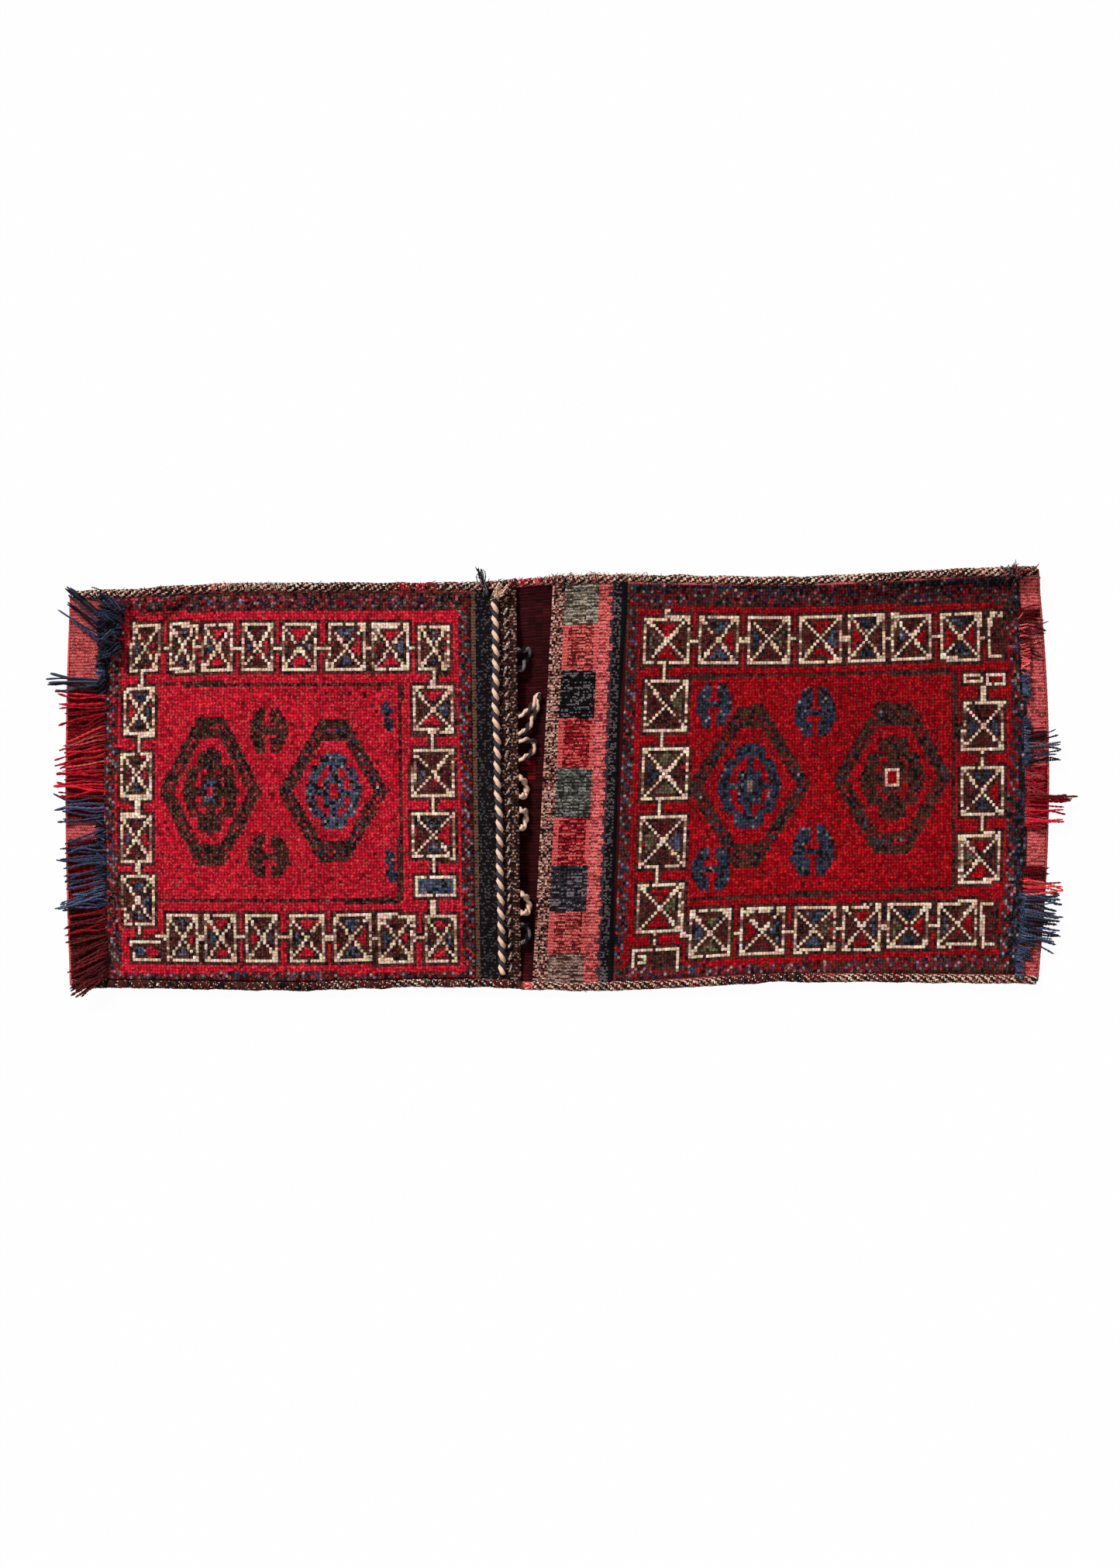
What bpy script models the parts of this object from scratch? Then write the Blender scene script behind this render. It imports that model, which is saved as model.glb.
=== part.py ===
"""Saddle bag: one long woven strip whose two ends are folded in to make two flat pockets.

The strip is drawn out flat, its bands and figures are cut into it, and then it is folded. The
pockets open towards each other across a narrow bridge. X runs along the bag, Y across it and Z
up from the ground that it lies on. Lengths are in metres.
"""

import math
from collections import namedtuple

import bmesh
import bpy
import numpy as np
from mathutils import Matrix, Vector

# The strip
BAG_LENGTH = 1.216
CLOTH_WIDTH = 0.518
FLAT_WEAVE = 0.0028
PILE_WEAVE = 0.0070
PILE_STEP = 0.0015
CLEARANCE = 0.0003
LAYER_GAP = 0.0008
LEFT_FOLD_BOW = 0.006
RIGHT_FOLD_BOW = 0.014
FOLD_STEPS = 4
BACK_PANELS = 32

# How the empty pockets stand open
POCKET_HEIGHT = 0.0110
POCKET_FOOT_RISE = 0.150
POCKET_SIDE_RISE = 0.100
LEFT_POCKET_START = 0.045
RIGHT_POCKET_START = 0.027
RIDGE_HEIGHT = 0.0050
RIDGE_HALF_WIDTH = 0.0150

# Bands of the left front: those at its foot by their far ends, measured from the fold, and those at
# its mouth by their widths. The field between them takes what the bag's length leaves.
LEFT_FOOT = 0.0475
LEFT_FOOT_GUARD = 0.0630
LEFT_BOXES_START = 0.0710
LEFT_FIELD_START = 0.1160
LEFT_BOXES_WIDTH = 0.0675
LEFT_GUARD_GAP = 0.0050
LEFT_GUARD_WIDTH = 0.0173
LEFT_DARK_WIDTH = 0.0307
LEFT_FLECKED_WIDTH = 0.0265
LEFT_MOUTH_FROM_MIDDLE = 0.0443

# Bands of the right front, whose mouth lies a little past the middle of the bag
RIGHT_FOOT = 0.0280
RIGHT_FOOT_GUARD = 0.0450
RIGHT_BOXES_START = 0.0560
RIGHT_FIELD_START = 0.1200
RIGHT_BOXES_WIDTH = 0.0650
RIGHT_GUARD_GAP = 0.0070
RIGHT_GUARD_WIDTH = 0.0140
RIGHT_DARK_WIDTH = 0.0165
RIGHT_RED_WIDTH = 0.0195
RIGHT_SQUARES_WIDTH = 0.0440
RIGHT_FLECKED_WIDTH = 0.0160
RIGHT_MOUTH_PAST_MIDDLE = 0.0212
SQUARES = 9

# How far the weaver's lines lean at each front's pile end and mouth, as X for each unit of Y
LEFT_PILE_LEAN = 0.0
LEFT_MOUTH_LEAN = -0.012
RIGHT_PILE_LEAN = 0.036
RIGHT_MOUTH_LEAN = 0.050

# Bands that run along each front, measured in from its far or near edge
SIDE_MARGIN = 0.0095
SIDE_GUARD = 0.0270
FAR_BOXES_START = 0.0490
FAR_BOXES_END = 0.1105
FAR_FIELD_START = 0.1280
NEAR_BOXES_START = 0.0360
NEAR_BOXES_END = 0.0980
NEAR_FIELD_START = 0.1160

# Boxes of the border, and how much lower the worn dark wool lies
ROW_BOXES = 8
COLUMN_BOXES = 4
BOX_SHARE = 0.84
BOX_FRAME = 0.0055
DARK_WOOL_WEAR = 0.0010

# Medallions, placed by their share of the field's length
LEFT_MEDALLIONS = (0.222, 0.729)
LEFT_MEDALLION_REACH = 0.064
RIGHT_MEDALLIONS = (0.238, 0.768)
RIGHT_MEDALLION_REACH = 0.072
MEDALLION_MIDDLE = -0.006
MEDALLION_HALF_HEIGHT = 0.097
MEDALLION_FLAT = 0.017
MEDALLION_RING = 0.013
HOOK_REACH = 0.027
HOOK_HALF_HEIGHT = 0.045
HOOK_FLAT = 0.011
HOOK_RING = 0.008

# The overcast yarn that binds both layers at the sides
BINDING_WALL = 0.0022
BINDING_GRIP = 0.0078
BINDING_CLEARANCE = 0.0006
BINDING_STATION = 0.0200
BINDING_SWELL = 0.0005
LIFT_REACH = 0.022
CURLED_CORNER = 0.0055
CURL_FROM = 0.20
CURL_TO = 0.45

# How the long sides wander inward, as (place along the bag from -1 to 1, metres)
FAR_WANDER = ((-1.0, 0.030), (-0.62, 0.020), (-0.25, 0.020), (0.10, 0.009), (0.45, 0.012), (0.98, 0.0))
NEAR_WANDER = ((-1.0, 0.004), (-0.55, 0.001), (-0.20, 0.005), (0.05, 0.0), (0.50, 0.0115), (1.0, 0.0095))

# The twisted cord sewn on the dark band of the left mouth
CORD_INSET = 0.0050
CORD_RADIUS = 0.0046
CORD_WAIST = 0.0034
CORD_TWIST = 0.036
CORD_STEPS = 4
CORD_SIDES = 8

# The closing loops on the left mouth: name, root as a share of the half width, reach in X, shift of
# the tip in Y, yarn
LOOP_RADIUS = 0.0030
LOOP_SPREAD = 0.0115
LOOP_POINTS = 13
LOOP_LEAD = 0.0015
LOOPS = (
    ("loop_1", 0.610, 0.0165, 0.012, "black_wool"),
    ("loop_2", 0.293, 0.0290, 0.036, "cream_wool"),
    ("loop_3", 0.170, 0.0230, 0.006, "cream_wool"),
    ("loop_4", -0.015, 0.0120, -0.004, "cream_wool"),
    ("loop_5", -0.174, 0.0110, 0.004, "cream_wool"),
    ("loop_6", -0.587, 0.0140, -0.006, "cream_wool"),
    ("loop_7", -0.741, 0.0130, 0.006, "black_wool"),
)

# Locks of fringe: name, side of the bag, start and end as shares of the half width, reach beyond the
# fold, lean, yarn
FRINGE_THICKNESS = 0.0022
FRINGE_HEADER = 0.0070
FRINGE_STRAND = 0.0060
FRINGE_DROOP = 0.10
FRINGES = (
    ("fringe_left_corner", -1, 0.502, 0.857, 0.0200, 0.10, "navy_wool"),
    ("fringe_left_red", -1, -0.062, 0.479, 0.0085, -0.04, "red_wool"),
    ("fringe_left_navy", -1, -0.216, -0.085, 0.0080, 0.03, "navy_wool"),
    ("fringe_left_blue", -1, -0.610, -0.278, 0.0060, -0.04, "blue_wool"),
    ("fringe_left_maroon", -1, -0.911, -0.641, 0.0030, -0.10, "maroon_wool"),
    ("fringe_right_corner", 1, 0.494, 0.687, 0.0050, 0.06, "maroon_wool"),
    ("fringe_right_navy", 1, 0.039, 0.432, 0.0140, 0.04, "navy_wool"),
    ("fringe_right_red", 1, -0.232, 0.008, 0.0200, 0.03, "red_wool"),
    ("fringe_right_maroon", 1, -0.548, -0.425, 0.0120, -0.04, "maroon_wool"),
    ("fringe_right_blue", 1, -0.873, -0.579, 0.0120, -0.06, "blue_wool"),
)

# Knots and yarn ends: name, side of the bag, place as a share of the way from fold to mouth, how far
# in from the far edge it starts, length, radius, yarn
TUFT_SIDES = 8
TUFT_TAPER = 0.55
TUFTS = (
    ("tuft_dark", -1, 0.925, 0.030, 0.030, 0.0060, "black_wool"),
    ("tuft_pale", -1, 0.9625, 0.034, 0.018, 0.0050, "cream_wool"),
    ("tuft_corner", 1, 0.0687, 0.020, 0.016, 0.0045, "maroon_wool"),
)

# Yarn colours as linear RGB
WOOL_ROUGHNESS = 0.9
WOOLS = {
    "red_wool": (0.300, 0.014, 0.021),
    "salmon_wool": (0.520, 0.085, 0.080),
    "maroon_wool": (0.075, 0.008, 0.012),
    "navy_wool": (0.022, 0.036, 0.075),
    "blue_wool": (0.040, 0.085, 0.180),
    "black_wool": (0.014, 0.012, 0.013),
    "brown_wool": (0.052, 0.026, 0.017),
    "green_wool": (0.125, 0.120, 0.085),
    "cream_wool": (0.680, 0.440, 0.290),
    "flecked_wool": (0.150, 0.070, 0.055),
}
GUARD_COLOURS = ("navy_wool", "red_wool", "brown_wool")
SQUARE_COLOURS = (
    "green_wool", "salmon_wool", "navy_wool", "red_wool", "green_wool",
    "red_wool", "black_wool", "red_wool", "green_wool",
)
BOX_COLOURS = (("navy_wool", "red_wool"), ("red_wool", "brown_wool"), ("brown_wool", "blue_wool"))

# What follows from these sizes
HALF_WIDTH = CLOTH_WIDTH / 2
FOLD_RADIUS = LAYER_GAP / 2
HALF = BAG_LENGTH / 2 - FOLD_RADIUS - FLAT_WEAVE
FOLD_ARC = math.pi * FOLD_RADIUS
FRONT_START = HALF + FOLD_ARC
SIDE_LIFT = BINDING_CLEARANCE + BINDING_WALL + BINDING_SWELL
EDGE_STACK = 2 * FLAT_WEAVE + LAYER_GAP
FIELD_FAR = HALF_WIDTH - FAR_FIELD_START
FIELD_NEAR = NEAR_FIELD_START - HALF_WIDTH
FAR_BOXES = (HALF_WIDTH - FAR_BOXES_END, HALF_WIDTH - FAR_BOXES_START)
NEAR_BOXES = (NEAR_BOXES_START - HALF_WIDTH, NEAR_BOXES_END - HALF_WIDTH)

LEFT_MOUTH = HALF - LEFT_MOUTH_FROM_MIDDLE
LEFT_DARK_END = LEFT_MOUTH - LEFT_FLECKED_WIDTH
LEFT_PILE_END = LEFT_DARK_END - LEFT_DARK_WIDTH
LEFT_MOUTH_GUARD = LEFT_PILE_END - LEFT_GUARD_WIDTH
LEFT_BOXES_END = LEFT_MOUTH_GUARD - LEFT_GUARD_GAP
LEFT_FIELD_END = LEFT_BOXES_END - LEFT_BOXES_WIDTH
CORD_PLACE = LEFT_DARK_END - CORD_INSET

RIGHT_MOUTH = HALF + RIGHT_MOUTH_PAST_MIDDLE
RIGHT_SQUARES_END = RIGHT_MOUTH - RIGHT_FLECKED_WIDTH
RIGHT_RED_END = RIGHT_SQUARES_END - RIGHT_SQUARES_WIDTH
RIGHT_DARK_END = RIGHT_RED_END - RIGHT_RED_WIDTH
RIGHT_PILE_END = RIGHT_DARK_END - RIGHT_DARK_WIDTH
RIGHT_MOUTH_GUARD = RIGHT_PILE_END - RIGHT_GUARD_WIDTH
RIGHT_BOXES_END = RIGHT_MOUTH_GUARD - RIGHT_GUARD_GAP
RIGHT_FIELD_END = RIGHT_BOXES_END - RIGHT_BOXES_WIDTH

Front = namedtuple(
    "Front",
    "side bow pocket_start foot foot_guard boxes_start field_start field_end boxes_end mouth_guard "
    "pile_end mouth bands pile_lean mouth_lean medallions reach",
)
LEFT = Front(
    -1, LEFT_FOLD_BOW, LEFT_POCKET_START, LEFT_FOOT, LEFT_FOOT_GUARD, LEFT_BOXES_START,
    LEFT_FIELD_START, LEFT_FIELD_END, LEFT_BOXES_END, LEFT_MOUTH_GUARD, LEFT_PILE_END, LEFT_MOUTH,
    ((LEFT_DARK_END, "black_wool"), (LEFT_MOUTH, "flecked_wool")),
    LEFT_PILE_LEAN, LEFT_MOUTH_LEAN, LEFT_MEDALLIONS, LEFT_MEDALLION_REACH,
)
RIGHT = Front(
    1, RIGHT_FOLD_BOW, RIGHT_POCKET_START, RIGHT_FOOT, RIGHT_FOOT_GUARD, RIGHT_BOXES_START,
    RIGHT_FIELD_START, RIGHT_FIELD_END, RIGHT_BOXES_END, RIGHT_MOUTH_GUARD, RIGHT_PILE_END, RIGHT_MOUTH,
    ((RIGHT_DARK_END, "black_wool"), (RIGHT_RED_END, "salmon_wool"),
     (RIGHT_SQUARES_END, "red_wool"), (RIGHT_MOUTH, "flecked_wool")),
    RIGHT_PILE_LEAN, RIGHT_MOUTH_LEAN, RIGHT_MEDALLIONS, RIGHT_MEDALLION_REACH,
)
FRONTS = {-1: LEFT, 1: RIGHT}

# The lines along the strip that every front shares, from the near side to the far side
ROW_LINES = (
    -HALF_WIDTH, -HALF_WIDTH + SIDE_MARGIN, -HALF_WIDTH + SIDE_MARGIN + PILE_STEP,
    -HALF_WIDTH + SIDE_GUARD, NEAR_BOXES[0], NEAR_BOXES[1], FIELD_NEAR,
    FIELD_FAR, FAR_BOXES[0], FAR_BOXES[1], HALF_WIDTH - SIDE_GUARD,
    HALF_WIDTH - SIDE_MARGIN - PILE_STEP, HALF_WIDTH - SIDE_MARGIN, HALF_WIDTH,
)


def smooth(t):
    """A step from 0 to 1 with level ends."""
    t = min(1.0, max(0.0, t))
    return t * t * (3 - 2 * t)


def between(table, place):
    """The value at a place on the smooth line through a table's (place, value) pairs."""
    for (start, low), (end, high) in zip(table, table[1:]):
        if place <= end:
            return low + (high - low) * smooth((place - start) / (end - start))
    return table[-1][1]


def side_edge(x, side):
    """Y of the cloth's edge at x, on the far side (1) or the near side (-1)."""
    return side * (HALF_WIDTH - between(FAR_WANDER if side > 0 else NEAR_WANDER, x / HALF))


def on_cloth(x, across):
    """Y at x of a thread that lay at this Y when the cloth was drawn out flat."""
    near = side_edge(x, -1)
    return near + (side_edge(x, 1) - near) * (across + HALF_WIDTH) / CLOTH_WIDTH


def from_margin(across, reach):
    """A rise from 0 at the side margins to 1 at this reach inside them, straight between the row lines."""
    lines = [smooth((HALF_WIDTH - abs(y) - SIDE_MARGIN) / reach) for y in ROW_LINES]
    return float(np.interp(across, ROW_LINES, lines))


def lift(x, across):
    """How far the cloth rises at its sides, where the binding goes under it."""
    curl = CURLED_CORNER * smooth((x - CURL_FROM) / (CURL_TO - CURL_FROM)) if across > 0 else 0.0
    return (SIDE_LIFT + curl) * (1 - from_margin(across, LIFT_REACH))


def pocket_gap(front, distance, across):
    """The height inside a pocket, with the ridge where the right mouth buckles."""
    height = POCKET_HEIGHT * smooth((distance - front.pocket_start) / POCKET_FOOT_RISE)
    if front is RIGHT:
        ridge = (distance - RIGHT_DARK_END) / RIDGE_HALF_WIDTH
        height += RIDGE_HEIGHT * max(0.0, 1 - ridge * ridge)
    return LAYER_GAP + height * from_margin(across, POCKET_SIDE_RISE)


def place(s, across):
    """Where a point of the drawn-out strip's inner face goes when the strip is folded."""
    front = FRONTS[1 if s > 0 else -1]
    spare = front.bow * (across / HALF_WIDTH) ** 2
    if abs(s) <= FRONT_START:
        turn = max(0.0, abs(s) - HALF) / FOLD_RADIUS
        along = min(abs(s), HALF) * (1 - spare / HALF)
        x = front.side * along
        z = FLAT_WEAVE + lift(x, across) + FOLD_RADIUS * (1 - math.cos(turn))
        return Vector((x + front.side * FOLD_RADIUS * math.sin(turn), on_cloth(x, across), z))
    distance = abs(s) - FRONT_START
    leans = ((0, 0), (front.field_start, 0), (front.pile_end, front.pile_lean), (front.mouth, front.mouth_lean))
    x = front.side * (HALF - distance - spare * (1 - smooth(distance / front.field_start)))
    x += between(leans, distance) * across
    return Vector((x, on_cloth(x, across), FLAT_WEAVE + lift(x, across) + pocket_gap(front, distance, across)))


def thickness(s, across):
    """How thick the weave is: knotted pile on the fronts, flat weave elsewhere."""
    distance = abs(s) - FRONT_START
    front = FRONTS[1 if s > 0 else -1]
    inside = min(distance - front.foot, front.pile_end - distance, HALF_WIDTH - abs(across) - SIDE_MARGIN)
    return FLAT_WEAVE + (PILE_WEAVE - FLAT_WEAVE) * min(1.0, max(0.0, inside / PILE_STEP))


def medallion_places(front):
    """Distances of a front's medallions from its fold."""
    length = front.field_end - front.field_start
    return [front.field_start + share * length for share in front.medallions]


def on_front(front, distance):
    """Place along the drawn-out strip at this distance from the fold."""
    return front.side * (FRONT_START + distance)


def top_of(front, distance, across):
    """The point on top of a front at this distance from the fold."""
    s = on_front(front, distance)
    point = place(s, across)
    point.z += thickness(s, across)
    return point


def material(name):
    """The wool of this name, made once."""
    wool = bpy.data.materials.get(name)
    if wool is None:
        wool = bpy.data.materials.new(name)
        wool.use_nodes = True
        shader = wool.node_tree.nodes["Principled BSDF"]
        shader.inputs["Base Color"].default_value = (*WOOLS[name], 1)
        shader.inputs["Roughness"].default_value = WOOL_ROUGHNESS
        shader.inputs["Metallic"].default_value = 0.0
        wool.diffuse_color = (*WOOLS[name], 1)
    return wool


def new_object(name, data, collection, wools):
    """An object in the bag's collection, with a slot for each of its wools."""
    thing = bpy.data.objects.new(name, data)
    for wool in wools:
        data.materials.append(material(wool))
    collection.objects.link(thing)
    return thing


def thicken(thing, wall, group=None):
    """Gives an open sheet its thickness on its outer side."""
    solid = thing.modifiers.new("Thickness", "SOLIDIFY")
    solid.thickness = wall
    solid.offset = 1
    if group:
        solid.vertex_group = group


def cut(bm, where, normal, low, high):
    """Cuts the faces whose middles lie between two corners along one straight line."""
    faces = []
    for face in bm.faces:
        middle = face.calc_center_bounds()
        if low[0] < middle.x < high[0] and low[1] < middle.y < high[1]:
            faces.append(face)
    parts = {edge for face in faces for edge in face.edges} | {v for face in faces for v in face.verts}
    bmesh.ops.bisect_plane(
        bm, geom=faces + list(parts), dist=1e-6, plane_co=(*where, 0), plane_no=(*normal, 0)
    )


def cut_lines(bm, places, axis, low, high):
    """Cuts the faces between two corners at each of these places along X (0) or Y (1)."""
    for value in places:
        where = (value, 0) if axis == 0 else (0, value)
        cut(bm, where, (1 - axis, axis), low, high)


def box_ends(start, end, count):
    """Both ends of each of the boxes spread evenly from start to end."""
    pitch = (end - start) / (count - 1 + BOX_SHARE)
    return [(start + i * pitch, start + (i + BOX_SHARE) * pitch) for i in range(count)]


def corners(front, d_start, d_end, y_low, y_high):
    """The two corners of a stretch of a front, as places on the drawn-out strip."""
    ends = sorted((on_front(front, d_start), on_front(front, d_end)))
    return (ends[0], y_low), (ends[1], y_high)


def cut_front(bm, front):
    """Cuts one front's bands, boxes and medallions; returns the middles of its boxes."""
    whole = corners(front, 0, front.mouth, -HALF_WIDTH, HALF_WIDTH)
    bands = [
        front.foot, front.foot + PILE_STEP, front.foot_guard, front.boxes_start,
        front.boxes_end, front.mouth_guard, front.pile_end - PILE_STEP, front.pile_end,
    ]
    bands += [end for end, _ in front.bands[:-1]]
    cut_lines(bm, [on_front(front, d) for d in bands], 0, *whole)
    cut_lines(bm, ROW_LINES[1:-1], 1, *whole)
    field = corners(front, front.boxes_start, front.boxes_end, FIELD_NEAR, FIELD_FAR)
    columns = ((front.boxes_start, front.field_start - BOX_FRAME), (front.field_end + BOX_FRAME, front.boxes_end))
    lines = [front.field_start, front.field_end, columns[0][1], columns[1][0]]
    cut_lines(bm, [on_front(front, d) for d in lines], 0, *field)
    middles = []
    for d_start, d_end in columns:
        band = corners(front, d_start, d_end, FIELD_NEAR, FIELD_FAR)
        for low, high in box_ends(FIELD_NEAR + BOX_FRAME, FIELD_FAR - BOX_FRAME, COLUMN_BOXES):
            cut_lines(bm, (low, high), 1, *band)
            middles.append((on_front(front, (d_start + d_end) / 2), (low + high) / 2))
    for y_low, y_high in (NEAR_BOXES, FAR_BOXES):
        reach = (-HALF_WIDTH, FIELD_NEAR) if y_low < 0 else (FIELD_FAR, HALF_WIDTH)
        for d_low, d_high in box_ends(front.boxes_start, front.boxes_end, ROW_BOXES):
            ends = [on_front(front, d_low), on_front(front, d_high)]
            cut_lines(bm, ends, 0, *corners(front, front.foot_guard, front.mouth_guard, *reach))
            middles.append((sum(ends) / 2, (y_low + y_high) / 2))
    field = corners(front, front.field_start, front.field_end, FIELD_NEAR, FIELD_FAR)
    for distance in medallion_places(front):
        middle = on_front(front, distance)
        cut_lines(bm, [middle + way * front.reach for way in (-1, 0, 1)], 0, *field)
    cut_lines(bm, [MEDALLION_MIDDLE + way * MEDALLION_HALF_HEIGHT for way in (-1, 0, 1)], 1, *field)
    for distance in medallion_places(front):
        middle = on_front(front, distance)
        cut_slopes(bm, middle, front.reach, MEDALLION_HALF_HEIGHT, MEDALLION_FLAT)
        for axis, reach in ((0, front.reach), (1, HOOK_REACH)):
            block = ((middle - reach, MEDALLION_MIDDLE - MEDALLION_HALF_HEIGHT),
                     (middle + reach, MEDALLION_MIDDLE + MEDALLION_HALF_HEIGHT))
            places = (MEDALLION_MIDDLE, HOOK_HALF_HEIGHT) if axis else (middle, HOOK_REACH)
            cut_lines(bm, (places[0] - places[1], places[0] + places[1]), axis, *block)
        cut_slopes(bm, middle, HOOK_REACH, HOOK_HALF_HEIGHT, HOOK_FLAT)
    return middles


def cut_slopes(bm, middle, reach, half_height, flat):
    """Cuts the four slopes of a six-sided figure with a flat top and bottom, in a block already cut."""
    for way in (-1, 1):
        for rise in (-half_height, half_height):
            slope = Vector((way * (flat - reach), rise)).normalized()
            low = (middle - reach, MEDALLION_MIDDLE + min(0, rise))
            high = (middle + reach, MEDALLION_MIDDLE + max(0, rise))
            cut(bm, (middle + way * reach, MEDALLION_MIDDLE), (-slope.y, slope.x), low, high)


def in_figure(point, middle, reach, half_height, flat):
    """Whether a point of the drawn-out strip lies inside a six-sided figure."""
    rise = abs(point.y - MEDALLION_MIDDLE) / half_height
    return rise < 1 and abs(point.x - middle) < reach + (flat - reach) * rise


def paint_bands(bm, front, wools):
    """Gives each face of a front the wool of its band."""
    count = 0
    low, high = corners(front, 0, front.mouth, -HALF_WIDTH, HALF_WIDTH)
    for face in bm.faces:
        middle = face.calc_center_bounds()
        if not low[0] < middle.x < high[0]:
            continue
        distance = abs(middle.x) - FRONT_START
        name = "red_wool"
        if distance < front.foot:
            name = "salmon_wool"
        elif distance > front.pile_end:
            name = next(wool for end, wool in front.bands if distance < end)
            if front is RIGHT and RIGHT_RED_END < distance < RIGHT_SQUARES_END:
                name = SQUARE_COLOURS[int((middle.y / CLOTH_WIDTH + 0.5) * SQUARES)]
        elif abs(middle.y) > HALF_WIDTH - SIDE_MARGIN:
            name = "flecked_wool"
        elif (abs(middle.y) > HALF_WIDTH - SIDE_GUARD or distance < front.foot_guard
              or distance > front.mouth_guard):
            count += 1
            name = GUARD_COLOURS[count % len(GUARD_COLOURS)]
        face.material_index = wools.index(name)


def work_boxes(bm, middles, wools, wear):
    """Gives each border box its pale frame and its four triangles, with the cross worn lowest."""
    for index, (x, y) in enumerate(middles):
        box = min(bm.faces, key=lambda face: (face.calc_center_bounds() - Vector((x, y, 0))).length)
        frame = bmesh.ops.inset_individual(bm, faces=[box], thickness=BOX_FRAME, use_even_offset=True)
        for face in frame["faces"]:
            face.material_index = wools.index("cream_wool")
        poked = bmesh.ops.poke(bm, faces=[box])
        for vert in poked["verts"]:
            vert[wear] = DARK_WOOL_WEAR
        upright, level = BOX_COLOURS[index % len(BOX_COLOURS)]
        for face in poked["faces"]:
            offset = face.calc_center_median() - Vector((x, y, 0))
            face.material_index = wools.index(upright if abs(offset.y) > abs(offset.x) else level)


def work_medallion(bm, front, middle, wools, wear):
    """Rings a medallion with worn dark wool and raises a ringed figure inside it."""
    figures = (
        (front.reach, MEDALLION_HALF_HEIGHT, MEDALLION_FLAT, MEDALLION_RING, "brown_wool", DARK_WOOL_WEAR),
        (HOOK_REACH, HOOK_HALF_HEIGHT, HOOK_FLAT, HOOK_RING, "navy_wool", 0.0),
    )
    for *shape, ring, wool, depth in figures:
        inside = [face for face in bm.faces if in_figure(face.calc_center_median(), middle, *shape)]
        made = bmesh.ops.inset_region(bm, faces=inside, thickness=ring, use_even_offset=True)
        for face in made["faces"]:
            face.material_index = wools.index(wool)
        for vert in {v for face in inside for v in face.verts}:
            vert[wear] = depth


def woven_body(collection):
    """The folded strip: a flat-woven back and bridge, and two fronts of knotted pile."""
    wools = list(WOOLS)
    bm = bmesh.new()
    bmesh.ops.create_grid(bm, x_segments=1, y_segments=1, size=0.5)
    ends = (on_front(LEFT, LEFT.mouth), on_front(RIGHT, RIGHT.mouth))
    for vert in bm.verts:
        vert.co = (ends[0] if vert.co.x < 0 else ends[1], math.copysign(HALF_WIDTH, vert.co.y), 0)
    bmesh.ops.reverse_faces(bm, faces=bm.faces)
    wear = bm.verts.layers.float.new("wear")
    strip = ((ends[0], -HALF_WIDTH), (ends[1], HALF_WIDTH))
    arc = [HALF + FOLD_ARC * step / FOLD_STEPS for step in range(FOLD_STEPS + 1)]
    panels = [HALF * (2 * i / BACK_PANELS - 1) for i in range(1, BACK_PANELS)]
    cut_lines(bm, sorted([-s for s in arc] + panels + arc), 0, *strip)
    cut_lines(bm, ROW_LINES[1:5] + ROW_LINES[-5:-1], 1, (-FRONT_START, -HALF_WIDTH), (FRONT_START, HALF_WIDTH))
    middles = {front.side: cut_front(bm, front) for front in (LEFT, RIGHT)}
    squares = corners(RIGHT, RIGHT_RED_END, RIGHT_SQUARES_END, -HALF_WIDTH, HALF_WIDTH)
    cut_lines(bm, [CLOTH_WIDTH * (i / SQUARES - 0.5) for i in range(1, SQUARES)], 1, *squares)
    for face in bm.faces:
        face.material_index = wools.index("salmon_wool")
    for front in (LEFT, RIGHT):
        paint_bands(bm, front, wools)
        work_boxes(bm, middles[front.side], wools, wear)
        for distance in medallion_places(front):
            work_medallion(bm, front, on_front(front, distance), wools, wear)
    mesh = bpy.data.meshes.new("woven_body")
    shares = [(thickness(v.co.x, v.co.y) - v[wear]) / PILE_WEAVE for v in bm.verts]
    for vert in bm.verts:
        vert.co = place(vert.co.x, vert.co.y)
    bm.to_mesh(mesh)
    bm.free()
    body = new_object("woven_body", mesh, collection, wools)
    group = body.vertex_groups.new(name="weave")
    for index, share in enumerate(shares):
        group.add([index], share, "REPLACE")
    thicken(body, PILE_WEAVE, "weave")


def sheet_object(name, rows, collection, wools, wall, pick=None):
    """A sheet through rows of points, thickened on its outer side; pick chooses each face's wool."""
    bm = bmesh.new()
    grid = [[bm.verts.new(point) for point in row] for row in rows]
    for i, (row, after) in enumerate(zip(grid, grid[1:])):
        for a, b, c, d in zip(row, row[1:], after[1:], after):
            face = bm.faces.new((a, b, c, d))
            face.material_index = pick(i) if pick else 0
    mesh = bpy.data.meshes.new(name)
    bm.to_mesh(mesh)
    bm.free()
    thicken(new_object(name, mesh, collection, wools), wall)


def binding(name, side, x_start, x_end, stack, wools, collection):
    """Overcast yarn round the cloth's edge: a channel swept along it, swelling at each group of wraps."""
    count = 2 * round((x_end - x_start) / BINDING_STATION / 2) or 1
    rows = []
    for i in range(count + 1):
        x = x_start + (x_end - x_start) * i / count
        swell = BINDING_SWELL * (i % 2) if count > 1 else 0.0
        edge = side_edge(x, side)
        low = lift(x, side * HALF_WIDTH) - BINDING_CLEARANCE - swell
        high = low + stack + 2 * (BINDING_CLEARANCE + swell)
        outer = edge + side * (BINDING_CLEARANCE + swell)
        inner = edge - side * BINDING_GRIP
        bevel = BINDING_CLEARANCE
        section = [(inner, high), (outer - side * bevel, high), (outer, high - bevel),
                   (outer, low + bevel), (outer - side * bevel, low), (inner, low)]
        rows.append([Vector((x, y, z)) for y, z in section[::-side]])
    sheet_object(name, rows, collection, wools, BINDING_WALL, lambda i: i // 2 % len(wools))


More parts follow.
